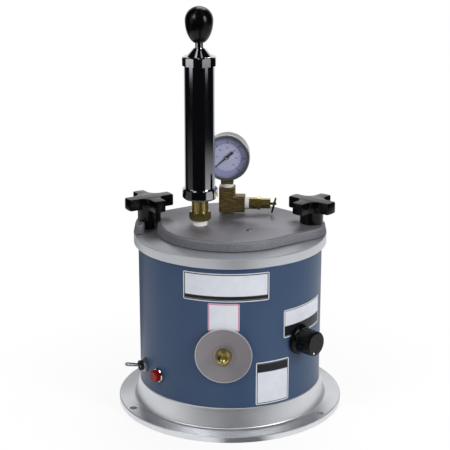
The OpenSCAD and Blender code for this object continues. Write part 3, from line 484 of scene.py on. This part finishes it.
def lamp_red():
    """The pilot lamp's moulded acrylic lens: deep red and glossy, with a faint glow."""
    made, tree, shader = new_finish("lamp_red", Roughness=0.14, IOR=1.49,
                                    Subsurface_Weight=0.3, Emission_Strength=0.04,
                                    Specular_IOR_Level=0.3)
    shader.inputs["Subsurface Radius"].default_value = (3 * MM, 0.6 * MM, 0.5 * MM)
    shader.inputs["Emission Color"].default_value = linear("#c01010")
    surface(tree, shader, blend_colours(tree, grain(tree, 2 * MM), "#5f0609", "#7c0d10"))
    return made


def plate_face(name, ground, ink, size, inset, width, band):
    """Printed vinyl: a ground, a ruled frame, and where band is given a bar across the plate.

    The frame's inset and width are in metres, and the band is two shares of the height.
    """
    made, tree, shader = new_finish(name, Roughness=0.4, Coat_Weight=0.05,
                                    Specular_IOR_Level=0.2)
    uv = add(tree, "SeparateXYZ", {0: add(tree, "UVMap", uv_map="face").outputs[0]}).outputs
    sides = []
    for axis, length in zip("XY", size):
        centred = add(tree, "Math", {0: uv[axis], 1: 0.5}, operation="SUBTRACT")
        near = add(tree, "Math", {0: centred.outputs[0]}, operation="ABSOLUTE")
        edge = add(tree, "Math", {0: 0.5, 1: near.outputs[0]}, operation="SUBTRACT")
        far = add(tree, "Math", {0: edge.outputs[0], 1: length}, operation="MULTIPLY")
        sides.append(far.outputs[0])
    rim = add(tree, "Math", {0: sides[0], 1: sides[1]}, operation="MINIMUM").outputs[0]
    soft = 0.12 * MM
    inside = between(tree, rim, inset - soft, inset + soft)
    past = between(tree, rim, inset + width - soft, inset + width + soft, 1.0, 0.0)
    line = add(tree, "Math", {0: inside, 1: past}, operation="MULTIPLY").outputs[0]
    shade = blend_colours(tree, grain(tree, 9 * MM), *ground)
    if band:
        (foot, top), blur = band, 0.01
        above = between(tree, uv["Y"], foot - blur, foot + blur)
        below = between(tree, uv["Y"], top - blur, top + blur, 1.0, 0.0)
        both = add(tree, "Math", {0: above, 1: below}, operation="MULTIPLY").outputs[0]
        held = add(tree, "Math", {0: both, 1: inside}, operation="MULTIPLY").outputs[0]
        shade = blend_colours(tree, held, shade, ink)
    surface(tree, shader, blend_colours(tree, line, shade, ink))
    return made


FINISHES = {
    turned_aluminium: ["base_flange", "bottom_cover"],
    machined_rim: ["wax_tank"],
    sand_cast_aluminium: ["lid"],
    faced_disc: ["nozzle_disc"],
    slate_paint: ["outer_shell"],
    bright_chrome: ["pump_base_nut", "pump_tube", "pump_cap", "pump_rod"],
    nickel_plate: ["lamp_bezel", "lid_plug"],
    zinc_plated_steel: ["cover_screws", "heater_band", "tie_rods", "tie_nuts", "nozzle_spring",
                        "check_spring", "check_ball", "relief_spring", "thermostat_shaft",
                        "pump_piston", "switch_nut", "switch_lever", "gauge_bezel"],
    black_oxide: ["clamp_studs", "pull_ring"],
    turned_brass: ["valve_body", "nozzle", "pump_adapter", "relief_valve_body", "relief_stem",
                   "left_knob_insert", "right_knob_insert"],
    extruded_brass: ["gauge_tee", "gauge_stem"],
    phenolic: ["left_knob", "right_knob", "pump_grip", "temperature_knob"],
    black_nylon: ["thermostat_body", "switch_body", "lamp_body", "cable_gland", "gland_nut"],
    nitrile_rubber: ["lid_gasket", "piston_cup"],
    thread_tape: ["pump_tape", "fitting_tape"],
    fibre_blanket: ["insulation_blanket"],
    drawn_steel: ["gauge_case"],
    printed_dial: ["gauge_dial"],
    clear_glass: ["gauge_window"],
    print_black: ["gauge_pointer"],
    lamp_red: ["lamp_lens"],
    # only on the temperature knob's dot, which is made here
    print_white: [],
}


def deselect():
    """Leaves edit mode and selects nothing."""
    if bpy.context.object and bpy.context.object.mode != "OBJECT":
        bpy.ops.object.mode_set(mode="OBJECT")
    bpy.ops.object.select_all(action="DESELECT")


def take(piece):
    """Selects one piece and nothing else."""
    deselect()
    piece.select_set(True)
    bpy.context.view_layer.objects.active = piece
    return piece


def pick(piece, faces=None, edges=None):
    """In edit mode, selects the faces or edges for which the test holds."""
    bpy.ops.object.mode_set(mode="EDIT")
    bpy.ops.mesh.select_mode(type="FACE" if faces else "EDGE")
    bpy.ops.mesh.select_all(action="DESELECT")
    mesh = bmesh.from_edit_mesh(piece.data)
    for part in (mesh.faces if faces else mesh.edges):
        if (faces or edges)(part):
            part.select_set(True)
    bmesh.update_edit_mesh(piece.data)


def apply_modifiers(piece):
    """Applies every modifier of the piece, in order."""
    take(piece)
    for name in [m.name for m in piece.modifiers]:
        bpy.ops.object.modifier_apply(modifier=name)


def settle(piece, name, body, finish, smooth=None, replaced=()):
    """Gives a finished piece its name, finish and body, with its place in its mesh.

    Where smooth is given, edges that turn by less than that many degrees are smoothed.
    """
    take(piece)
    bpy.ops.object.transform_apply(location=True, rotation=True, scale=True)
    bpy.ops.object.mode_set(mode="EDIT")
    bpy.ops.mesh.select_all(action="SELECT")
    bpy.ops.mesh.normals_make_consistent(inside=False)
    bpy.ops.object.mode_set(mode="OBJECT")
    if smooth:
        bpy.ops.object.shade_smooth_by_angle(angle=radians(smooth))
    piece.name = name
    piece.data.materials.clear()
    piece.data.materials.append(bpy.data.materials[finish])
    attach(piece, body)
    if replaced:
        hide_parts(*replaced)
    deselect()
    return piece


def merged_copy(node):
    """A copy of a CAD node with its loose triangles joined and its flat faces made whole."""
    made = NODES[node].copy()
    made.data = NODES[node].data.copy()
    made.parent = None
    bpy.context.scene.collection.objects.link(made)
    # the copy is a new piece, so it loses the marks of a CAD node
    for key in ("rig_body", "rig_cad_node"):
        if key in made:
            del made[key]
    take(made)
    bpy.ops.object.mode_set(mode="EDIT")
    bpy.ops.mesh.select_all(action="SELECT")
    bpy.ops.mesh.remove_doubles(threshold=WELD)
    bpy.ops.mesh.dissolve_limited(angle_limit=radians(1))
    bpy.ops.object.mode_set(mode="OBJECT")
    return made


def join_pieces(pieces):
    """Joins the pieces into the first one."""
    deselect()
    for piece in pieces:
        piece.select_set(True)
    bpy.context.view_layer.objects.active = pieces[0]
    bpy.ops.object.transform_apply(location=True, rotation=True, scale=True)
    bpy.ops.object.join()
    return pieces[0]


def round_edges(piece, width, segments):
    """Rounds every edge that turns by more than 30 degrees."""
    rounding = piece.modifiers.new("rounding", "BEVEL")
    rounding.width = width
    rounding.segments = segments
    rounding.limit_method = "ANGLE"
    rounding.angle_limit = radians(30)
    apply_modifiers(piece)


def section(inner, outer, foot, top):
    """A flat oblong in the XZ plane, ready to be spun: all selected in edit mode."""
    deselect()
    bpy.ops.mesh.primitive_plane_add(size=1, rotation=(radians(90), 0, 0),
                                     location=((inner + outer) / 2, 0, (foot + top) / 2))
    made = take(bpy.context.object)
    made.scale = (outer - inner, top - foot, 1)
    bpy.ops.object.transform_apply(location=True, rotation=True, scale=True)
    bpy.ops.object.mode_set(mode="EDIT")
    bpy.ops.mesh.select_all(action="SELECT")
    return made


def ring_of(inner, outer, length, cuts, steps):
    """A closed ring about Z, standing on the origin, with each side of its section cut."""
    made = section(inner, outer, 0, length)
    bpy.ops.mesh.delete(type="ONLY_FACE")
    bpy.ops.mesh.select_all(action="SELECT")
    bpy.ops.mesh.subdivide(number_cuts=cuts)
    bpy.ops.mesh.select_all(action="SELECT")
    bpy.ops.mesh.spin(steps=steps, angle=2 * pi, center=(0, 0, 0), axis=(0, 0, 1))
    bpy.ops.mesh.select_all(action="SELECT")
    bpy.ops.mesh.remove_doubles(threshold=WELD)
    bpy.ops.mesh.normals_make_consistent(inside=False)
    bpy.ops.object.mode_set(mode="OBJECT")
    return made


class InjectorTrim(bpy.types.PropertyGroup):
    """Sizes of the pieces that only show."""
    knob_rounding: bpy.props.FloatProperty(
        name="Knob rounding", description="Radius along the edges of the clamp knobs",
        default=0.8 * MM, min=0.2 * MM, max=2.5 * MM, unit="LENGTH")
    lid_rounding: bpy.props.FloatProperty(
        name="Lid rounding", description="Radius along the top edge of the lid's casting",
        default=2.2 * MM, min=0.2 * MM, max=3 * MM, unit="LENGTH")
    tape_rag: bpy.props.FloatProperty(
        name="Tape raggedness", description="How far the thread tape's layers stand off",
        default=0.9 * MM, min=0, max=2 * MM, unit="LENGTH")
    plate_thickness: bpy.props.FloatProperty(
        name="Plate thickness", description="Thickness of the printed plates on the shell",
        default=0.35 * MM, min=0.1 * MM, max=1 * MM, unit="LENGTH")
    plate_corner: bpy.props.FloatProperty(
        name="Plate corner", description="Radius of the plates' corners",
        default=1.6 * MM, min=0.2 * MM, max=3 * MM, unit="LENGTH")
    scale_top: bpy.props.IntProperty(
        name="Gauge range", description="Highest number on the gauge's outer ring",
        default=30, min=6, max=300)


class InjectorColours(bpy.types.PropertyGroup):
    """Colours that a user would change."""
    floor: bpy.props.FloatVectorProperty(
        name="Floor", description="Colour of the floor", subtype="COLOR", size=4,
        default=linear("#f4f4f4"), min=0, max=1)


class INJECTOR_OT_finishes(bpy.types.Operator):
    """Gives every carried-over solid its finish"""
    bl_idname = "injector.finishes"
    bl_label = "Finishes"

    def execute(self, context):
        for build, nodes in FINISHES.items():
            made = build()
            for name in nodes:
                mesh = NODES[name].data
                mesh.materials.clear()
                mesh.materials.append(made)
        return {"FINISHED"}


class INJECTOR_OT_castings(bpy.types.Operator):
    """Rounds the edges of the lid and the clamp knobs"""
    bl_idname = "injector.castings"
    bl_label = "Lid and knobs"

    # what the rounding keeps clear of: holes, the tee's seat and the fork's curved slot
    hole_margin = 1.5 * MM
    tee_seat = 11 * MM
    slot_half_width = 6.4 * MM
    slot_length = 20 * MM
    # the least turn between its faces at which an edge is rounded
    sharp = radians(40)

    def lid(self, rounding):
        """The lid with its outer top edge rounded, and its holes and slot left sharp."""
        lid = merged_copy("lid")
        right, left = (middle(side + "_knob_insert").xy for side in ("right", "left"))
        holes = [(middle(n).xy, half_width(n) + self.hole_margin)
                 for n in ("lid_plug", "pump_tape", "right_knob_insert")]
        tee_x = (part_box("gauge_tee")[0].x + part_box("gauge_stem")[1].x) / 2
        holes.append((Vector((tee_x, middle("gauge_tee").y)), self.tee_seat))
        reach = (right - left).length

        def outer(edge):
            a, b = (v.co for v in edge.verts)
            if min(a.z, b.z) < LID_TOP - NEAR or edge.calc_face_angle(0) < self.sharp:
                return False
            place = ((a + b) / 2).xy
            in_slot = (place.x < left.x + self.slot_length
                       and abs((place - right).length - reach) < self.slot_half_width)
            return not in_slot and all((place - c).length > r for c, r in holes)

        pick(lid, edges=outer)
        bpy.ops.mesh.bevel(offset=rounding, segments=4, affect="EDGES")
        settle(lid, "lid_casting", "lid", "sand_cast_aluminium", smooth=35,
               replaced=["lid"])

    def execute(self, context):
        trim = context.scene.injector_trim
        self.lid(trim.lid_rounding)
        for side in ("left", "right"):
            knob = merged_copy(side + "_knob")
            round_edges(knob, trim.knob_rounding, 3)
            settle(knob, side + "_clamp_knob", side + "_knob_turn", "phenolic",
                   smooth=35, replaced=[side + "_knob"])
        return {"FINISHED"}


class INJECTOR_OT_thread_tapes(bpy.types.Operator):
    """Winds ragged tape round the threads of the pump, the tee and the relief valve"""
    bl_idname = "injector.thread_tapes"
    bl_label = "Thread tapes"

    # the tape's thickness on the thread, the size of its tears, and two of its lengths
    wound = 1.6 * MM
    tear = 1.3 * MM
    gauge_joint = 4.2 * MM
    valve_joint = 4.8 * MM

    def wind(self, context, name, foot, outer, length, axis="Z"):
        """A wrap of tape from foot along the axis, with its layers' edges standing off."""
        rag = bpy.data.textures.new(name + "_rag", "CLOUDS")
        rag.noise_scale = self.tear
        rag.noise_depth = 3
        wrap = ring_of(outer - self.wound, outer, length, cuts=6, steps=90)
        torn = wrap.modifiers.new("torn", "DISPLACE")
        torn.texture = rag
        torn.texture_coords = "LOCAL"
        torn.strength = context.scene.injector_trim.tape_rag
        torn.mid_level = 0.55
        apply_modifiers(wrap)
        if axis == "X":
            wrap.rotation_euler = (0, radians(90), 0)
        wrap.location = foot
        return wrap

    def execute(self, context):
        low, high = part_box("pump_tape")
        foot = (*middle("pump_tape").xy, low.z)
        wrap = self.wind(context, "pump_wrap", foot, half_width("pump_tape"), high.z - low.z)
        settle(wrap, "pump_wrap", "lid", "thread_tape", smooth=50,
               replaced=["pump_tape"])

        tee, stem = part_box("gauge_tee"), middle("gauge_stem")
        radius = (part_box("fitting_tape")[1].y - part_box("fitting_tape")[0].y) / 2
        branch = middle("relief_valve_body").z
        # where each wrap starts, its length and its axis
        wraps = (
            ("tee_wrap", (stem.x, stem.y, LID_TOP), tee[0].z - LID_TOP, "Z"),
            ("gauge_wrap", (stem.x, stem.y, tee[1].z), self.gauge_joint, "Z"),
            ("valve_wrap", (tee[1].x, stem.y, branch), self.valve_joint, "X"),
        )
        pieces = [self.wind(context, name, foot, radius, length, axis)
                  for name, foot, length, axis in wraps]
        settle(join_pieces(pieces), "fitting_wraps", "lid", "thread_tape",
               smooth=50, replaced=["fitting_tape"])
        return {"FINISHED"}


class INJECTOR_OT_gland_ribs(bpy.types.Operator):
    """Puts the ribbed clamping nut on the cable gland"""
    bl_idname = "injector.gland_ribs"
    bl_label = "Gland ribs"

    ribs = 24
    inner = 7.65 * MM
    outer = 8.8 * MM
    length = 8 * MM
    groove_margin = 0.12 * MM
    groove_depth = 0.6 * MM
    rounding = 0.15 * MM
    # how far it stands off the shell, and its bearing in degrees to the right of the nozzle
    stand_off = 4.3 * MM
    bearing = -150

    def execute(self, context):
        nut = ring_of(self.inner, self.outer, self.length, cuts=1, steps=2 * self.ribs)

        def grooves(face):
            place = face.calc_center_median()
            step = round(turn_of(place) / (pi / self.ribs) - 0.5)
            return place.xy.length > self.outer - NEAR and step % 2 == 0

        pick(nut, faces=grooves)
        bpy.ops.mesh.inset(thickness=self.groove_margin, depth=-self.groove_depth,
                           use_outset=False)
        bpy.ops.object.mode_set(mode="OBJECT")
        round_edges(nut, self.rounding, 2)
        away = facing(self.bearing)
        nut.rotation_euler = away.to_track_quat("Z", "Y").to_euler()
        nut.location = away * (SHELL_R + self.stand_off)
        nut.location.z = middle("cable_gland").z
        settle(nut, "gland_clamp_nut", "injector_base", "black_nylon", smooth=40)
        return {"FINISHED"}


class INJECTOR_OT_springs(bpy.types.Operator):
    """Makes the coil springs, each a smoothed copy of a spring node that a joint lists"""
    bl_idname = "injector.springs"
    bl_label = "Springs"

    def execute(self, context):
        for joint in frame["joints"]:
            for told in joint.get("deforming_nodes") or []:
                node, letter = told["node"], told["mode"][-1]
                low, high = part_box(node)
                along = "xyz".index(letter)
                axis, anchor = Vector(), (low + high) / 2
                axis[along], anchor[along] = 1, told["fixed_end_" + letter + "_m"]
                coil = settle(merged_copy(node), node.replace("spring", "coil"),
                              NODES[node]["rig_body"], "zinc_plated_steel",
                              smooth=40, replaced=[node])
                tuple(axis)
                tuple(anchor)
                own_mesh(coil)
        return {"FINISHED"}


class INJECTOR_OT_plates(bpy.types.Operator):
    """Wraps the four bare printed plates round the shell"""
    bl_idname = "injector.plates"
    bl_label = "Plates"

    glue = 0.06 * MM

    def plate(self, context, name, left, right, foot, top, face):
        """A plate on the shell, between two bearings in degrees to the right of the nozzle."""
        trim = context.scene.injector_trim
        back = SHELL_R + self.glue
        piece = section(back, back + trim.plate_thickness, foot, top)
        # a step about every 1.5 degrees keeps it round
        sweep, steps = radians(right - left), max(8, round((right - left) / 1.5))
        bpy.ops.mesh.spin(steps=steps, angle=sweep, center=(0, 0, 0), axis=(0, 0, 1))
        bpy.ops.mesh.select_all(action="SELECT")
        bpy.ops.mesh.remove_doubles(threshold=WELD)

        def corner(edge):
            a, b = (v.co for v in edge.verts)
            at_rim = max(min(abs(v.z - foot), abs(v.z - top)) for v in (a, b)) < NEAR
            flat = abs(a.z - b.z) < NEAR
            straight_out = abs(turn_of(a) - turn_of(b)) < 1e-5
            at_end = min(abs(abs(turn_of(a)) - t) for t in (0, sweep)) < 1e-4
            return at_rim and flat and straight_out and at_end

        pick(piece, edges=corner)
        bpy.ops.mesh.bevel(offset=trim.plate_corner, segments=5, affect="EDGES")
        bpy.ops.object.mode_set(mode="OBJECT")
        # spin turns clockwise as seen from above, so the piece starts at its right end
        uv = piece.data.uv_layers.new(name="face")
        for loop in piece.data.loops:
            place = piece.data.vertices[loop.vertex_index].co
            across, up = -turn_of(place) / sweep, (place.z - foot) / (top - foot)
            uv.data[loop.index].uv = (across, up)
        piece.rotation_euler = (0, 0, radians(right - 90))
        settle(piece, name, "injector_base", face.name, smooth=40)

    def execute(self, context):
        ground, black, pink = ("#c0c3cb", "#d3d5da"), "#16181d", "#b77d90"
        # the ends' bearings, foot and top, then the frame's ink, inset and width, and the band
        rows = (
            ("upper_plate", -25, 27.5, 154 * MM, 186 * MM,
             black, 1.0 * MM, 1.1 * MM, (0.07, 0.2)),
            ("middle_plate", -9.4, 9.4, 120 * MM, 152 * MM,
             pink, 0.3 * MM, 1.3 * MM, None),
            ("dial_plate", 37.9, 75.3, 105.5 * MM, 138 * MM,
             black, 1.0 * MM, 0.7 * MM, (0.06, 0.42)),
            ("lower_plate", 19.5, 42, 32 * MM, 82 * MM,
             black, 1.2 * MM, 0.8 * MM, (0.76, 0.96)),
        )
        for name, left, right, foot, top, ink, inset, width, band in rows:
            size = (radians(right - left) * SHELL_R, top - foot)
            face = plate_face(name + "_print", ground, ink, size, inset, width, band)
            self.plate(context, name, left, right, foot, top, face)
        return {"FINISHED"}


class INJECTOR_OT_gauge_scale(bpy.types.Operator):
    """Prints the gauge's scale: ticks, plain numbers and the pointer's hub"""
    bl_idname = "injector.gauge_scale"
    bl_label = "Gauge scale"

    # where the scale starts, and how far it goes on clockwise, in degrees
    first, sweep = 222, 270
    # how many spaces there are between its numbers
    numbered = 6
    # rings of ticks: how many spaces, the radius, and a tick's length and width
    rings = (("gauge_ticks_long", 6, 17.6 * MM, 3.0 * MM, 0.7 * MM),
             ("gauge_ticks_short", 30, 17.0 * MM, 1.6 * MM, 0.35 * MM),
             ("gauge_ticks_inner", 15, 14.2 * MM, 1.3 * MM, 0.35 * MM))
    # the print's thickness, and how far its middle is in front of the dial
    ink_thickness = 0.12 * MM
    ink_lift = 0.04 * MM

    def on_dial(self, share, radius, y):
        """The turn at a share of the scale, and the place there at a radius."""
        turn = radians(self.first - self.sweep * share)
        return turn, (GAUGE.x + cos(turn) * radius, y, GAUGE.z + sin(turn) * radius)

    def ticks(self, name, count, radius, length, width, y):
        """Flat bars in a ring round the gauge's axis, joined as one piece."""
        bars = []
        deselect()
        for i in range(count + 1):
            turn, place = self.on_dial(i / count, radius, y)
            bpy.ops.mesh.primitive_cube_add(size=1, rotation=(0, -turn, 0), location=place)
            bar = bpy.context.object
            bar.scale = (length, self.ink_thickness, width)
            bars.append(bar)
        settle(join_pieces(bars), name, "lid", "print_black")

    def numbers(self, top, y):
        """Plain numbers up to the top outside the ticks, and up to twice that inside them."""
        words = []
        for i in range(self.numbered + 1):
            outside = (20.6 * MM, top * i // self.numbered, 3.4 * MM)
            inside = (11.4 * MM, 2 * top * i // self.numbered, 3.0 * MM)
            for radius, value, size in (outside, inside):
                _, place = self.on_dial(i / self.numbered, radius, y)
                deselect()
                bpy.ops.object.text_add(rotation=(radians(90), 0, 0), location=place)
                word = bpy.context.object
                word.data.body = str(value)
                word.data.align_x = "CENTER"
                word.data.align_y = "CENTER"
                word.data.size = size
                word.data.extrude = self.ink_thickness / 2
                word.data.resolution_u = 3
                take(word)
                bpy.ops.object.convert(target="MESH")
                words.append(bpy.context.object)
        settle(join_pieces(words), "gauge_numbers", "lid", "print_black")

    def hub(self):
        """The pointer's hub: a low disc whose face slopes up to a small flat."""
        radius, height, slope, rise = 2.4 * MM, 0.7 * MM, 0.7 * MM, 0.25 * MM
        deselect()
        bpy.ops.mesh.primitive_cylinder_add(
            vertices=40, radius=radius, depth=height, rotation=(radians(90), 0, 0),
            location=(GAUGE.x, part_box("gauge_pointer")[0].y, GAUGE.z))
        hub = take(bpy.context.object)
        pick(hub, faces=lambda f: f.normal.z > 0.9)
        bpy.ops.mesh.inset(thickness=slope)
        bpy.ops.transform.translate(value=(0, -rise, 0))
        bpy.ops.object.mode_set(mode="OBJECT")
        settle(hub, "pointer_hub", "gauge_pointer", "nickel_plate", smooth=30)

    def execute(self, context):
        print_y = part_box("gauge_dial")[0].y - self.ink_lift
        for ring in self.rings:
            self.ticks(*ring, print_y)
        self.numbers(context.scene.injector_trim.scale_top, print_y)
        self.hub()
        return {"FINISHED"}


class INJECTOR_OT_dial_mark(bpy.types.Operator):
    """Puts the white dot on the temperature knob"""
    bl_idname = "injector.dial_mark"
    bl_label = "Dial mark"

    # the knob's bearing in degrees, how far out its skirt's face is, and its axis's height
    bearing = 50.9
    skirt_out = 130.25 * MM
    height = 99 * MM
    # the dot's turn about the knob's axis, in degrees up from the right, and its distance
    turn = -115
    dot_out = 10.6 * MM
    dot_radius = 1.1 * MM
    flattened = 0.25

    def execute(self, context):
        turn, up = radians(self.turn), Vector((0, 0, 1))
        away, right = facing(self.bearing), facing(self.bearing + 90)
        face = away * self.skirt_out + up * self.height
        bpy.ops.mesh.primitive_uv_sphere_add(
            segments=24, ring_count=12, radius=self.dot_radius,
            location=face + (right * cos(turn) + up * sin(turn)) * self.dot_out)
        dot = take(bpy.context.object)
        dot.rotation_euler = away.to_track_quat("Z", "Y").to_euler()
        dot.scale = (1, 1, self.flattened)
        settle(dot, "dial_dot", "temperature_knob", "print_white", smooth=60)
        return {"FINISHED"}


class INJECTOR_OT_stage(bpy.types.Operator):
    """Makes the floor, the lamps, the world and the camera"""
    bl_idname = "injector.stage"
    bl_label = "Stage"

    def floor(self, context):
        """A round pale table, white far out, that keeps the object's shadow."""
        size, behind, below = 0.77, 0.05, 0.2 * MM
        bpy.ops.mesh.primitive_circle_add(vertices=96, radius=size, fill_type="NGON",
                                          location=(0, behind, -below))
        floor = take(bpy.context.object)
        bpy.ops.object.transform_apply(location=True, rotation=True, scale=True)
        floor.name = "floor"
        made, tree, shader = new_finish("pale_floor", Roughness=0.9, Specular_IOR_Level=0.1)
        rays = add(tree, "LightPath").outputs
        # in metal the table is dull, with a bright patch on each side of the front
        turn = turn_round_z(tree, place_of(tree))
        patches = add(tree, "Math", {0: sector(tree, turn, -62, 56),
                                     1: sector(tree, turn, 88, 60)}, operation="MAXIMUM")
        bright = add(tree, "Math", {0: rays["Is Glossy Ray"], 1: patches.outputs[0]},
                     operation="MULTIPLY")
        dull = add(tree, "Math", {0: rays["Is Glossy Ray"], 1: bright.outputs[0]},
                   operation="SUBTRACT")
        surface(tree, shader, blend_colours(tree, dull.outputs[0],
                                            context.scene.injector_colours.floor, "#55555a"))
        seen = add(tree, "Math", {0: rays["Is Camera Ray"], 1: bright.outputs[0]},
                   operation="MAXIMUM")
        through = add(tree, "Math", {0: seen.outputs[0], 1: rays["Is Transmission Ray"]},
                      operation="MAXIMUM")
        # white at its far edge, so that no horizon shows, a little darker near the object for
        # its shadow, and dark below the base, which shows through the fixing holes
        out = add(tree, "VectorMath", {0: place_of(tree)}, operation="LENGTH").outputs["Value"]
        white = between(tree, out, 140 * MM, 340 * MM, 0.82, 1.0)
        open_floor = between(tree, out, 126 * MM, 131 * MM)
        lit = add(tree, "Math", {0: open_floor, 1: white}, operation="MULTIPLY")
        share = add(tree, "Math", {0: through.outputs[0], 1: lit.outputs[0]},
                    operation="MULTIPLY")
        glow = add(tree, "Emission", {"Color": (1, 1, 1, 1), "Strength": 1.0})
        both = add(tree, "MixShader", {0: share.outputs[0], 1: shader.outputs["BSDF"],
                                       2: glow.outputs[0]})
        end = next(n for n in tree.nodes if n.type == "OUTPUT_MATERIAL")
        tree.links.new(both.outputs[0], end.inputs["Surface"])
        floor.data.materials.append(made)

    def world(self, context):
        """The studio: seen in full by metal only, a plain grey as a light, white to the camera."""
        world = bpy.data.worlds.new("studio")
        context.scene.world = world
        world.use_nodes = True
        tree = world.node_tree
        tree.nodes.clear()
        rays = add(tree, "LightPath").outputs
        way = add(tree, "TexCoord").outputs["Generated"]
        parts = add(tree, "SeparateXYZ", {0: way}).outputs
        y, z, turn = parts["Y"], parts["Z"], turn_round_z(tree, way)
        # each pale thing fades at its sides and at its foot or top
        strip_foot = between(tree, z, -0.172, -0.16)
        sheet_behind = between(tree, y, 0.58, 0.86), between(tree, z, 0.8, 0.5)
        left_strip = sector(tree, turn, -60, 13, 0.72), strip_foot
        right_strip = sector(tree, turn, 60, 11, 0.42), strip_foot
        left_table = sector(tree, turn, -75, 22), between(tree, z, -0.2, -0.3, 0.0, 0.1)
        right_table = sector(tree, turn, 98, 48), between(tree, z, -0.22, -0.28, 0.0, 0.7)
        pale = 0.0
        for sides, foot in (sheet_behind, left_strip, right_strip, left_table, right_table):
            patch = add(tree, "Math", {0: sides, 1: foot}, operation="MULTIPLY").outputs[0]
            pale = add(tree, "Math", {0: pale, 1: patch}, operation="MAXIMUM").outputs[0]
        room = blend_colours(tree, pale, "#0c0c0e", "#f4f4f6")
        lit = blend_colours(tree, rays["Is Glossy Ray"], "#b4b4b8", room)
        seen = blend_colours(tree, rays["Is Camera Ray"], lit, "#ffffff")
        back = add(tree, "Background", {"Color": seen, "Strength": 1.0})
        add(tree, "OutputWorld", {"Surface": back.outputs[0]})

    def lamp(self, context, name, place, target, size, power):
        """A soft oblong lamp that points at its target."""
        light = bpy.data.lights.new(name, "AREA")
        light.shape = "RECTANGLE"
        light.size, light.size_y = size
        light.energy = power
        made = bpy.data.objects.new(name, light)
        context.scene.collection.objects.link(made)
        made.location = place
        made.rotation_euler = (Vector(target) - Vector(place)).to_track_quat("-Z", "Y").to_euler()

    def camera(self, context):
        """The photograph's view of the object."""
        place = (0.0912, -1.3879, 0.6194)
        # the focal length and the photograph's width, in pixels
        focal, width = 1267.6, 450
        # how far it looks down, and how far it is turned to the left, in degrees
        down, left = 16.406, 4
        camera = bpy.data.cameras.new("camera")
        camera.lens = focal / width * camera.sensor_width
        camera.clip_start = 0.01
        made = bpy.data.objects.new("camera", camera)
        context.scene.collection.objects.link(made)
        made.location = place
        made.rotation_euler = (radians(90 - down), 0, radians(left))
        context.scene.camera = made

    def execute(self, context):
        self.floor(context)
        self.world(context)
        # name, place, what it points at, size, and power in watts
        lamps = (("key", (-0.9, -1.0, 1.2), (0, 0, 0.15), (0.5, 0.7), 9),
                 ("fill", (1.1, -0.8, 0.8), (0, 0, 0.15), (0.4, 0.8), 12),
                 ("top", (0.1, 0.8, 1.4), (0, 0, 0.1), (0.8, 0.8), 8))
        for each in lamps:
            self.lamp(context, *each)
        self.camera(context)
        context.scene.view_settings.view_transform = "Standard"
        return {"FINISHED"}


class INJECTOR_PT_parts(bpy.types.Panel):
    """Lists the injector's pieces and sizes"""
    bl_idname = "INJECTOR_PT_parts"
    bl_label = "Bench wax injector"
    bl_space_type = "VIEW_3D"
    bl_region_type = "UI"
    bl_category = "Injector"

    def draw(self, context):
        for operator in OPERATORS:
            self.layout.operator(operator.bl_idname)
        for group in (context.scene.injector_trim, context.scene.injector_colours):
            for name in group.__annotations__:
                self.layout.prop(group, name)


OPERATORS = (INJECTOR_OT_finishes, INJECTOR_OT_castings, INJECTOR_OT_thread_tapes,
             INJECTOR_OT_gland_ribs, INJECTOR_OT_springs, INJECTOR_OT_plates,
             INJECTOR_OT_gauge_scale, INJECTOR_OT_dial_mark, INJECTOR_OT_stage)
CLASSES = (InjectorTrim, InjectorColours) + OPERATORS + (INJECTOR_PT_parts,)


def register():
    for each in CLASSES:
        bpy.utils.register_class(each)
    bpy.types.Scene.injector_trim = bpy.props.PointerProperty(type=InjectorTrim)
    bpy.types.Scene.injector_colours = bpy.props.PointerProperty(type=InjectorColours)


def unregister():
    del bpy.types.Scene.injector_trim
    del bpy.types.Scene.injector_colours
    for each in reversed(CLASSES):
        bpy.utils.unregister_class(each)


def main():
    register()
    bpy.ops.injector.finishes()
    bpy.ops.injector.castings()
    bpy.ops.injector.thread_tapes()
    bpy.ops.injector.gland_ribs()
    bpy.ops.injector.springs()
    bpy.ops.injector.plates()
    bpy.ops.injector.gauge_scale()
    bpy.ops.injector.dial_mark()
    bpy.ops.injector.stage()


if __name__ == "__main__":
    main()
